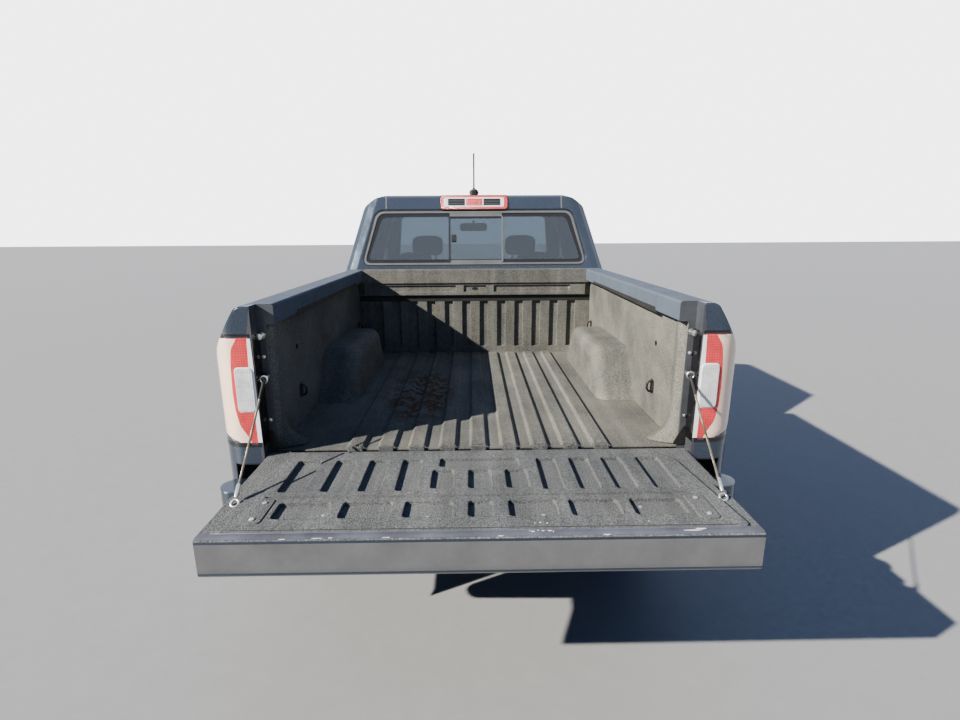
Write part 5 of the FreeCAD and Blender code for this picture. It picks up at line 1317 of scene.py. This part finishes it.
seals = {"front": [(1.267, 1.284), (0.720, 1.690), (0.413, 1.690), (0.413, 1.284)],
         "rear": [(0.277, 1.284), (0.277, 1.690), (-0.339, 1.684), (-0.462, 1.284)],
         "screen": [(-0.765, 1.192), (0.765, 1.192), (0.640, 1.740), (-0.640, 1.740)], "beltZ": 1.268,
         "roofX": 0.570, "roofStart": 0.235, "roofRun": 1.14, "backX": 0.574, "backFoot": 1.744,
         "backRun": 0.098, "doorStrip": (0.016, 0.0030), "beltStrip": (0.014, 0.0055),
         "screenStrip": (0.016, 0.0025), "roofStrip": (0.010, 0.0012), "backStrip": (0.011, 0.0014)}
for label, side in sides:
    for end in ("front", "rear"):
        door, corners = "door_%s_%s" % (end, label), seals[end]
        starts = [(1.4 * side, spot.x, spot.y) for spot in edgePoints(corners, 0.010, 14)]
        seal = surfaceStrip(door, starts, (-side, 0, 0), *seals["doorStrip"])
        addPiece("windowSeal_%s_%s" % (end, label), [seal], "sealRubber", body=door)
        back, front = sorted((corners[0][0], corners[-1][0]))
        starts = [(1.4 * side, y, seals["beltZ"]) for y in evenRun(back - 0.03, front - back + 0.05, 12)]
        belt = surfaceStrip(door, starts, (-side, 0, 0), *seals["beltStrip"], closed=False)
        addPiece("beltStrip_%s_%s" % (end, label), [belt], "glossBlack", body=door)
starts = [(spot.x, 3.5, spot.y) for spot in edgePoints(seals["screen"], 0.008, 18)]
seal = surfaceStrip(("cab_shell", "windshield"), starts, (0, -1, 0), *seals["screenStrip"])
addPiece("windscreenSeal", [seal], "sealRubber")
roofLines = []
for side in (1, -1):
    runs = evenRun(cabRear + seals["roofStart"], seals["roofRun"], 20)
    rises = evenRun(seals["backFoot"], seals["backRun"], 12)
    starts = [(seals["roofX"] * side, y, 2.4) for y in runs]
    roofLines.append(surfaceStrip("cab_shell", starts, (0, 0, -1), *seals["roofStrip"], closed=False))
    starts = [(seals["backX"] * side, cabRear - 0.5, z) for z in rises]
    roofLines.append(surfaceStrip("cab_shell", starts, alongY, *seals["backStrip"], closed=False))
addPiece("roofSeams", roofLines, "greySeal")
print("seals made")

# Wipers on the windscreen
wiper = {"places": ((-0.52, -0.10), (0.10, 0.50)), "pivotZ": 1.196, "kneeZ": 1.262, "bladeLength": 0.50,
         "bladeTop": 1.288, "bladeDrop": 0.055}
arms, blades = [], []
for pivotX, tipX in wiper["places"]:
    pivot = Vector((pivotX, screenFace(1.200) + 0.020, wiper["pivotZ"]))
    knee = Vector(((pivotX + tipX) / 2 + 0.10, screenFace(wiper["kneeZ"]) + 0.030, wiper["kneeZ"]))
    arms.append(tubePart([pivot, pivot.lerp(knee, 0.3) + Vector((0, 0, 0.010)), knee],
                         [0.010, 0.008, 0.005], 8))
    blade = zip(evenRun(tipX + 0.12, -wiper["bladeLength"], 10),
                evenRun(wiper["bladeTop"], -wiper["bladeDrop"], 10))
    blades.append(tubePart([(x, screenFace(z) + 0.014, z) for x, z in blade],
                           [0.004] + [0.0075] * 9 + [0.004], 6))
addPiece("wiperArms", arms, "blackPlastic", sharp=60)
addPiece("wiperBlades", blades, "sealRubber", sharp=60)

# Headlamps: chrome surround, two projectors and a running light laid on each lens
headlamp = {"projectors": ((0.800, 0.868, 0.040), (0.700, 0.870, 0.036)), "stripStart": 0.615,
            "stripRun": 0.265,
            "ring": ((-0.001, 0.80), (0.003, 0.82), (0.0045, 0.92), (0.003, 1.0), (-0.001, 1.0)),
            "dome": ((-0.001, 0), (-0.001, 0.80), (0.003, 0.74), (0.008, 0.45), (0.0095, 0))}
headlampStrips = (  # height, rise along the strip, width, height over the lens, finish
    ("runningLight_", 0.938, -0.004, 0.012, 0.003, "whiteLens"),
    ("headlampChrome_", 0.800, 0.004, 0.010, 0.0025, "brightChrome"))
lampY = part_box("headlamps")[1].y
for label, side in sides:
    rings, domes = [], []
    for x, z, radius in headlamp["projectors"]:
        spot, normal = onSurface("headlamps", (x * side, lampY + 0.6, z), (0, -1, 0))
        for parts, name, segments in ((rings, "ring", 40), (domes, "dome", 32)):
            profile = [(along, radius * share) for along, share in headlamp[name]]
            parts.append(lathePart(profile, spot, normal, segments))
    addPiece("headlampRings_" + label, rings, "brightChrome", sharp=50)
    addPiece("headlampProjectors_" + label, domes, "tintedGlass", sharp=60)
    for name, z, rise, width, proud, finish in headlampStrips:
        runs = zip(evenRun(headlamp["stripStart"], headlamp["stripRun"], 16), evenRun(z, rise, 16))
        starts = [(x * side, lampY + 0.6, height) for x, height in runs]
        strip = surfaceStrip("headlamps", starts, (0, -1, 0), width, proud, closed=False)
        addPiece(name + label, [strip], finish)

# Grille mesh behind the bars, its surround, and the fog lamps
grille = {"rows": 9, "columns": 34, "half": 0.512, "margin": 0.030, "depth": 0.030,
          "cell": (0.0145, 0.0125), "cellHole": 0.74, "cellDepth": 0.004, "surroundStrip": (0.012, 0.004),
          "surround": (-0.552, 0.552, 0.721, 0.934)}
fogLamp = {"x": 0.735, "z": 0.600,
           "bezel": [(-0.004, 0.030), (0.002, 0.033), (0.006, 0.050), (0.003, 0.058), (-0.004, 0.058)],
           "lens": [(-0.003, 0), (-0.003, 0.031), (0.003, 0.028), (0.006, 0.015), (0.0065, 0)]}
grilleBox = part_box("grille")
spots = []
rise = grilleBox[1].z - grilleBox[0].z - 2 * grille["margin"]
for row, z in enumerate(evenRun(grilleBox[0].z + grille["margin"], rise, grille["rows"] - 1)):
    for place in range(grille["columns"]):
        x = -grille["half"] + 2 * grille["half"] * (place + 0.5 * (row % 2)) / (grille["columns"] - 0.5)
        back = onSurface("grille", (x, noseY + 0.5, z), (0, -1, 0))
        if back and back[0].y < grilleBox[1].y - grille["depth"]:
            spots.append((back[0] + Vector((0, -0.001, 0)), (math.radians(-90), 0, 0)))
hexagon = ovalPoints(0, 0, *grille["cell"], 6)
hexagonHole = [(u * grille["cellHole"], v * grille["cellHole"]) for u, v in hexagon]
meshCell = framePart(hexagon, hexagonHole, (0, 0, 0), acrossX, alongY, grille["cellDepth"])
repeatPiece("grilleMesh", [meshCell], spots, "glossBlack")
starts = [(spot.x, noseY + 0.5, spot.y) for spot in edgePoints(rectangle(*grille["surround"]), -0.004, 16)]
surround = surfaceStrip("grille", starts, (0, -1, 0), *grille["surroundStrip"])
addPiece("grilleSurround", [surround], "brightChrome")
for label, side in sides:
    hit = onSurface("front_bumper", (fogLamp["x"] * side, noseY + 0.5, fogLamp["z"]), (0, -1, 0))
    addPiece("fogBezel_" + label, [lathePart(fogLamp["bezel"], *hit, 36)], "blackPlastic")
    addPiece("fogLens_" + label, [lathePart(fogLamp["lens"], *hit, 32)], "clearLens",
             sharp=60)
print("front made")

# Fuel door seam on the left, arch lips and door lock barrels
flank = {"fuelRun": 0.50, "fuelZ": 1.13, "fuelRadius": 0.082, "archRadius": 0.452, "lock": (0.425, 1.105),
         "fuelStrip": (0.004, 0.0006), "archStrip": (0.022, 0.004),
         "lockProfile": [(-0.001, 0), (-0.001, 0.009), (0.002, 0.008), (0.002, 0)]}
for label, side in sides:
    if side < 0:
        edge = ovalPoints(floorRear + flank["fuelRun"], flank["fuelZ"], flank["fuelRadius"],
                          flank["fuelRadius"], 40)
        starts = [(-1.4, y, z) for y, z in edge]
        seam = surfaceStrip("bed_side_left", starts, acrossX, *flank["fuelStrip"])
        addPiece("fuelDoorSeam", [seam], "sealRubber")
    for arch, y, panel in (("front", frontAxle, "fender_"), ("rear", rearAxle, "bed_side_")):
        angles = [math.radians(angle) for angle in evenRun(8, 164, 28)]
        reach = flank["archRadius"]
        starts = [(1.4 * side, y + reach * math.cos(a), axleHeight + reach * math.sin(a)) for a in angles]
        lip = surfaceStrip(panel + label, starts, (-side, 0, 0), *flank["archStrip"], closed=False)
        addPiece("archLip_%s_%s" % (arch, label), [lip], "blackPlastic")
    hit = onSurface("door_front_" + label, (1.4 * side, *flank["lock"]), (-side, 0, 0))
    addPiece("doorLock_" + label, [lathePart(flank["lockProfile"], *hit, 20)], "brightChrome",
             body="door_front_" + label)

# Rear bumper: step pad ribs, blank plate with its screws, hitch receiver and exhaust tip
bumper = {"ribs": ((-0.80, -0.42), (0.42, 0.80), (-0.36, 0.36)), "ribStart": 0.030, "ribPitch": 0.017,
          "ribHalf": 0.004, "padLow": 0.70, "holder": (0.172, 0.088, 0.010), "plate": (0.152, 0.075, 0.008),
          "screw": (0.11, 0.058), "receiver": (0.036, 0.006), "receiverHole": (0.026, 0.004),
          "receiverZ": 0.476, "receiverLength": 0.115, "beam": (0.42, 0.450, 0.502),
          "ribBuild": (0.0035, 0.001), "holderBuild": (0.005, 0.002), "plateBuild": (0.0015, 0.0005),
          "screwSize": (0.0062, 0.003)}
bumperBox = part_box("rear_bumper")
padRibs = []
for x0, x1 in bumper["ribs"]:
    for k in range(5):
        y = bumperBox[0].y + bumper["ribStart"] + bumper["ribPitch"] * k
        hit = onSurface("rear_bumper", ((x0 + x1) / 2, y, 1.2), (0, 0, -1))
        if hit and hit[0].z > bumper["padLow"]:
            edge = roundRect(x0, x1, y - bumper["ribHalf"], y + bumper["ribHalf"], 0.0038, 3)
            padRibs.append(topPlate(edge, hit[0].z - 0.0005, *bumper["ribBuild"]))
addPiece("bumperStepRibs", padRibs, "blackPlastic")
plateZ = middleOf("rear_bumper", 2)
plateY = onSurface("rear_bumper", (0, bumperBox[0].y - 0.3, plateZ), alongY)[0].y


def plateEdge(name):
    halfX, halfZ, radius = bumper[name]
    return roundRect(-halfX, halfX, plateZ - halfZ, plateZ + halfZ, radius)


def receiverEdge(name):
    half, radius = bumper[name]
    return roundCorners(rectangle(-half, half, -half, half), radius, 3)


holder = rearPlate(plateEdge("holder"), plateY + 0.001, *bumper["holderBuild"])
addPiece("plateHolder", [holder], "blackPlastic")
blank = rearPlate(plateEdge("plate"), plateY - 0.0042, *bumper["plateBuild"])
addPiece("numberPlateBlank", [blank], "blankPlate")
screwX, screwZ = bumper["screw"]
spots = [(Vector((x, plateY - 0.0055, plateZ + rise)), facingRear)
         for x in (-screwX, screwX) for rise in (-screwZ, screwZ)]
repeatPiece("plateScrews", screwParts(*bumper["screwSize"]), spots, "zincSteel")
receiver = framePart(receiverEdge("receiver"), receiverEdge("receiverHole"),
                     (0, floorRear - 0.030, bumper["receiverZ"]), acrossX, upZ, bumper["receiverLength"])
half, foot, top = bumper["beam"]
beam = blockPart(-half, half, floorRear - 0.020, floorRear + 0.030, foot, top)
addPiece("hitchReceiver", [receiver, beam], "chassisBlack", bevel=0.004)
exhaust = {"inset": 0.034, "start": 0.085,
           "profile": [(0, 0.026), (0, 0.0325), (0.11, 0.034), (0.115, 0.0325), (0.113, 0.0295),
                       (0.004, 0.0275)]}
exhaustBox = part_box("exhaust")
x, y = exhaustBox[1].x - exhaust["inset"], exhaustBox[0].y
z = onSurface("exhaust", (x, y + 0.02, 1.0), (0, 0, -1))[0].z - 0.030
tip = lathePart(exhaust["profile"], (x, y + exhaust["start"], z), (0, -1, 0), 32)
addPiece("exhaustTip", [tip], "brightChrome")
print("rear made")

# Seats: crowned pads whose sides pull in, with sewn channels, over the posts and bases of the solids.
# Each pad has its size, its place from the seat's own point, its turns, its channels and its softness.
frontSeat = {"x": (-0.370, 0.370), "y": 0.575, "postSpread": 0.060, "postFoot": (-0.325, 1.340),
             "postTop": (-0.352, 1.470), "postRadius": 0.0065, "base": (0.180, -0.200, 0.180, 0.612, 0.830),
             "pads": (
                 ((0.500, 0.520, 0.120), (0, 0.010, 0.878), [4], 4, 0.30),
                 ((0.490, 0.540, 0.120), (0, -0.228, 1.125), [-69.5, 180], 4, 0.30),
                 ((0.080, 0.100, 0.440), (-0.205, -0.200, 1.10), [20.5], 0, 0.5),
                 ((0.080, 0.100, 0.440), (0.205, -0.200, 1.10), [20.5], 0, 0.5),
                 ((0.246, 0.085, 0.152), (0, -0.358, 1.497), [12], 0, 0.45))}
rearSeat = {"y": cabRear + 0.060, "x": (-0.425, 0.0, 0.425), "restX": (-0.400, 0.400), "postSpread": 0.055,
            "postFoot": (0.098, 1.290), "postTop": (0.104, 1.360), "postRadius": 0.006,
            "base": (0.600, 0.010, 0.470, 0.612, 0.840), "pads": (
                ((0.420, 0.460, 0.110), (0, 0.380, 0.888), [4], 3, 0.30),
                ((0.420, 0.450, 0.105), (0, 0.128, 1.095), [-78, 180], 3, 0.30)),
            "rest": ((0.236, 0.060, 0.150), (0, 0.104, 1.398), [-4], 0, 0.45)}


def padPart(size, channels, softness, rows=28, columns=44):
    def power(value):
        return math.copysign(abs(value) ** softness, value)

    wide, deep, high = (s / 2 for s in size)
    verts = []
    for tilt in evenRun(-math.pi / 2, math.pi, rows):
        for turn in (2 * math.pi * j / columns for j in range(columns)):
            x = wide * power(math.cos(tilt)) * power(math.cos(turn))
            y = deep * power(math.cos(tilt)) * power(math.sin(turn))
            z = high * power(math.sin(tilt))
            if z > 0:
                z *= 1.0 - 0.16 * (abs(x / wide) ** 3.0) - 0.10 * (abs(y / deep) ** 3.0)
            pull = 1.0 - 0.045 * (1 - (z / high) ** 2) * (abs(x / wide) ** 6 + abs(y / deep) ** 6) * 0.5
            x, y = x * pull, y * pull
            if channels and z > high * 0.35:
                z -= 0.010 * max(0.0, 1 - abs(math.sin(math.pi * channels * (x / wide * 0.5 + 0.5))) * 6)
            verts.append(Vector((x, y, z)))
    ends = [tuple(range(columns))[::-1], tuple(range(rows * columns, (rows + 1) * columns))]
    return verts, quads(columns, rows + 1) + ends


def setPad(seat, x, size, place, turns, channels, softness):
    matrix = Matrix.Translation((x + place[0], seat["y"] + place[1], place[2]))
    for turn in turns:
        matrix = matrix @ Matrix.Rotation(math.radians(turn), 4, "X")
    return movedPart(padPart(size, channels, softness), matrix)


def restPosts(seat, x):
    ends = (seat["postFoot"], seat["postTop"])
    return [tubePart([(x + shift, seat["y"] + y, z) for y, z in ends], seat["postRadius"])
            for shift in (-seat["postSpread"], seat["postSpread"])]


def seatBase(seat, x):
    half, back, front, foot, top = seat["base"]
    return blockPart(x - half, x + half, seat["y"] + back, seat["y"] + front, foot, top)


def addSeat(name, pads, frameName, frameParts, node):
    item = addPiece(name, pads, "seatCloth", sharp=70, replaced=(node,))
    addPiece(frameName, frameParts, "cabinPlastic", bevel=0.008)


pads = [setPad(frontSeat, x, *pad) for x in frontSeat["x"] for pad in frontSeat["pads"]]
frameParts = [part for x in frontSeat["x"] for part in (*restPosts(frontSeat, x), seatBase(frontSeat, x))]
addSeat("frontSeatPads", pads, "frontSeatFrames", frameParts, "front_seats")
pads = [setPad(rearSeat, x, *pad) for x in rearSeat["x"] for pad in rearSeat["pads"]]
pads += [setPad(rearSeat, x, *rearSeat["rest"]) for x in rearSeat["restX"]]
frameParts = [post for x in rearSeat["restX"] for post in restPosts(rearSeat, x)]
frameParts.append(seatBase(rearSeat, 0.0))
addSeat("rearSeatPads", pads, "rearSeatFrame", frameParts, "rear_seat")

# Inside the cab: rear-view mirror, instrument hood and screen
cabin = {"mirrorZ": 1.640, "mirrorShape": (-0.125, 0.125, -0.034, 0.034, 0.026), "mirrorUp": (0, 0.10, 1),
         "stemTopZ": 1.700, "dial": (-0.370, 1.080), "hoodHalf": 0.165, "hoodHeight": 0.062,
         "hoodDrop": 0.022, "hoodLength": 0.150, "screen": (-0.115, 0.115, 1.000, 1.110, 0.012),
         "screenProbe": (0, 0.2, 1.055), "screenBuild": (0.010, 0.003), "stemRadius": 0.007}
mirrorSpot = Vector((0.0, screenFace(cabin["mirrorZ"]) - 0.085, cabin["mirrorZ"]))
mirrorShape = roundRect(*cabin["mirrorShape"])
shell = platePart(mirrorShape, mirrorSpot + Vector((0, -0.004, 0)), acrossX, cabin["mirrorUp"], 0.022,
                  0.006)
addPiece("cabMirror", [shell], "blackPlastic")
glass = platePart([(u * 0.94, v * 0.90) for u, v in mirrorShape], mirrorSpot + Vector((0, -0.026, 0)),
                  acrossX, cabin["mirrorUp"], 0.002)
addPiece("cabMirrorGlass", [glass], "mirrorSilver")
stem = tubePart([mirrorSpot, (0, screenFace(cabin["stemTopZ"]) - 0.030, cabin["stemTopZ"])],
                cabin["stemRadius"])
addPiece("cabMirrorStem", [stem], "blackPlastic")
hoodSpot = onSurface("dashboard", (*cabin["dial"], 1.6), (0, 0, -1))[0]
hoodRows = []
for t in evenRun(0, 1, 6):
    row = []
    for angle in evenRun(0, math.pi, 16):
        x = cabin["dial"][0] - cabin["hoodHalf"] * math.cos(angle)
        z = hoodSpot.z - 0.012 + (cabin["hoodHeight"] - cabin["hoodDrop"] * t) * math.sin(angle)
        spot = Vector((x, hoodSpot.y - 0.050 + cabin["hoodLength"] * t, z))
        row.append((spot, Vector((-math.cos(angle), 0, math.sin(angle)))))
    hoodRows.append(row)
addPiece("instrumentHood", [sheetPart(hoodRows, 0.004, 0.004)], "cabinPlastic")
screenY = onSurface("dashboard", cabin["screenProbe"], alongY)[0].y
screen = rearPlate(roundRect(*cabin["screen"]), screenY - 0.004, *cabin["screenBuild"])
addPiece("dashScreen", [screen], "glossBlack")
print("cabin made")

# Studio: pale floor, weak sky fill and a sharp key light from the rear left
studio = {"floorHalf": 60, "toSun": (-0.84, -0.42, 0.56), "sunPower": 8.2, "sunSpread": 0.8,
          "sunColour": (1.0, 0.94, 0.83), "fill": 0.23, "fillColour": (0.16, 0.40, 1.0), "backdrop": 2.7,
          "backdropColour": (0.97, 0.98, 1.0), "sheen": 0.30}
softPanels = {  # place, aim, power, colour and size
    "skyPanel": ((1.0, -1.0, 9.0), (0, -1, 0.8), 25, (0.93, 0.96, 1.0), 9.0),
    "rearFill": ((2.5, -9.0, 3.0), (0, -1, 0.9), 15, (1, 1, 1), 5.0)}
floorMesh = bpy.data.meshes.new("studioFloor")
half = studio["floorHalf"]
floorMesh.from_pydata([(x, y, 0) for x, y in rectangle(-half, half, -half, half)], [], [(0, 1, 2, 3)])
floorMesh.materials.append(finishes["studioFloor"])
floorObject = bpy.data.objects.new("studioFloor", floorMesh)
bpy.context.scene.collection.objects.link(floorObject)


def addWorld():
    world = bpy.data.worlds.new("studioSky")
    world.use_nodes = True
    tree = world.node_tree
    fill = tree.nodes["Background"]
    setSurface(fill, Color=studio["fillColour"], Strength=studio["fill"])
    inputs = {"Color": studio["backdropColour"], "Strength": studio["backdrop"]}
    backdrop = newNode(tree, "ShaderNodeBackground", inputs)
    seen = tree.nodes.new("ShaderNodeLightPath")
    sheen = maths("MULTIPLY", seen.outputs["Is Glossy Ray"], studio["sheen"])
    inputs = {0: maths("MAXIMUM", seen.outputs["Is Camera Ray"], sheen), 1: fill.outputs["Background"],
              2: backdrop.outputs["Background"]}
    mix = newNode(tree, "ShaderNodeMixShader", inputs)
    feed(tree.nodes["World Output"].inputs["Surface"], mix.outputs["Shader"])
    bpy.context.scene.world = world


def addLight(name, kind, place, aim, power, colour, **settings):
    light = bpy.data.lights.new(name, kind)
    light.energy = power
    light.color = colour
    for key, value in settings.items():
        setattr(light, key, value)
    item = bpy.data.objects.new(name, light)
    item.location = place
    item.rotation_euler = (Vector(aim) - Vector(place)).to_track_quat("-Z", "Y").to_euler()
    bpy.context.scene.collection.objects.link(item)


addWorld()
bedMiddle = Vector((0.0, floorRear + 0.7, 0.9))
toSun = Vector(studio["toSun"]).normalized()
addLight("keySun", "SUN", bedMiddle + toSun * 14, bedMiddle, studio["sunPower"], studio["sunColour"],
         angle=math.radians(studio["sunSpread"]))
for name, (place, aim, power, colour, size) in softPanels.items():
    addLight(name, "AREA", place, aim, power, colour, shape="DISK", size=size)

# Camera of the photograph: 19.8 mm on a 36 mm sensor, a little to the left, looking slightly down
camera = {"place": (-0.020, floorRear - 1.802, 1.616), "lens": 19.8, "sensor": 36.0, "turn": 0.84,
          "dip": 13.84, "roll": 0.325}


def addCamera():
    data = bpy.data.cameras.new("photoCamera")
    data.sensor_width = camera["sensor"]
    data.lens = camera["lens"]
    item = bpy.data.objects.new("photoCamera", data)
    turn, dip, roll = (math.radians(camera[key]) for key in ("turn", "dip", "roll"))
    forward = Vector((math.sin(turn) * math.cos(dip), math.cos(turn) * math.cos(dip), -math.sin(dip)))
    level = forward.cross(Vector(upZ)).normalized()
    right = (level * math.cos(roll) - level.cross(forward) * math.sin(roll)).normalized()
    matrix = Matrix((right, right.cross(forward), -forward)).transposed().to_4x4()
    matrix.translation = Vector(camera["place"])
    item.matrix_world = matrix
    bpy.context.scene.collection.objects.link(item)
    bpy.context.scene.camera = item


addCamera()
bpy.context.scene.view_settings.view_transform = "AgX"
bpy.context.scene.view_settings.look = "AgX - Medium High Contrast"
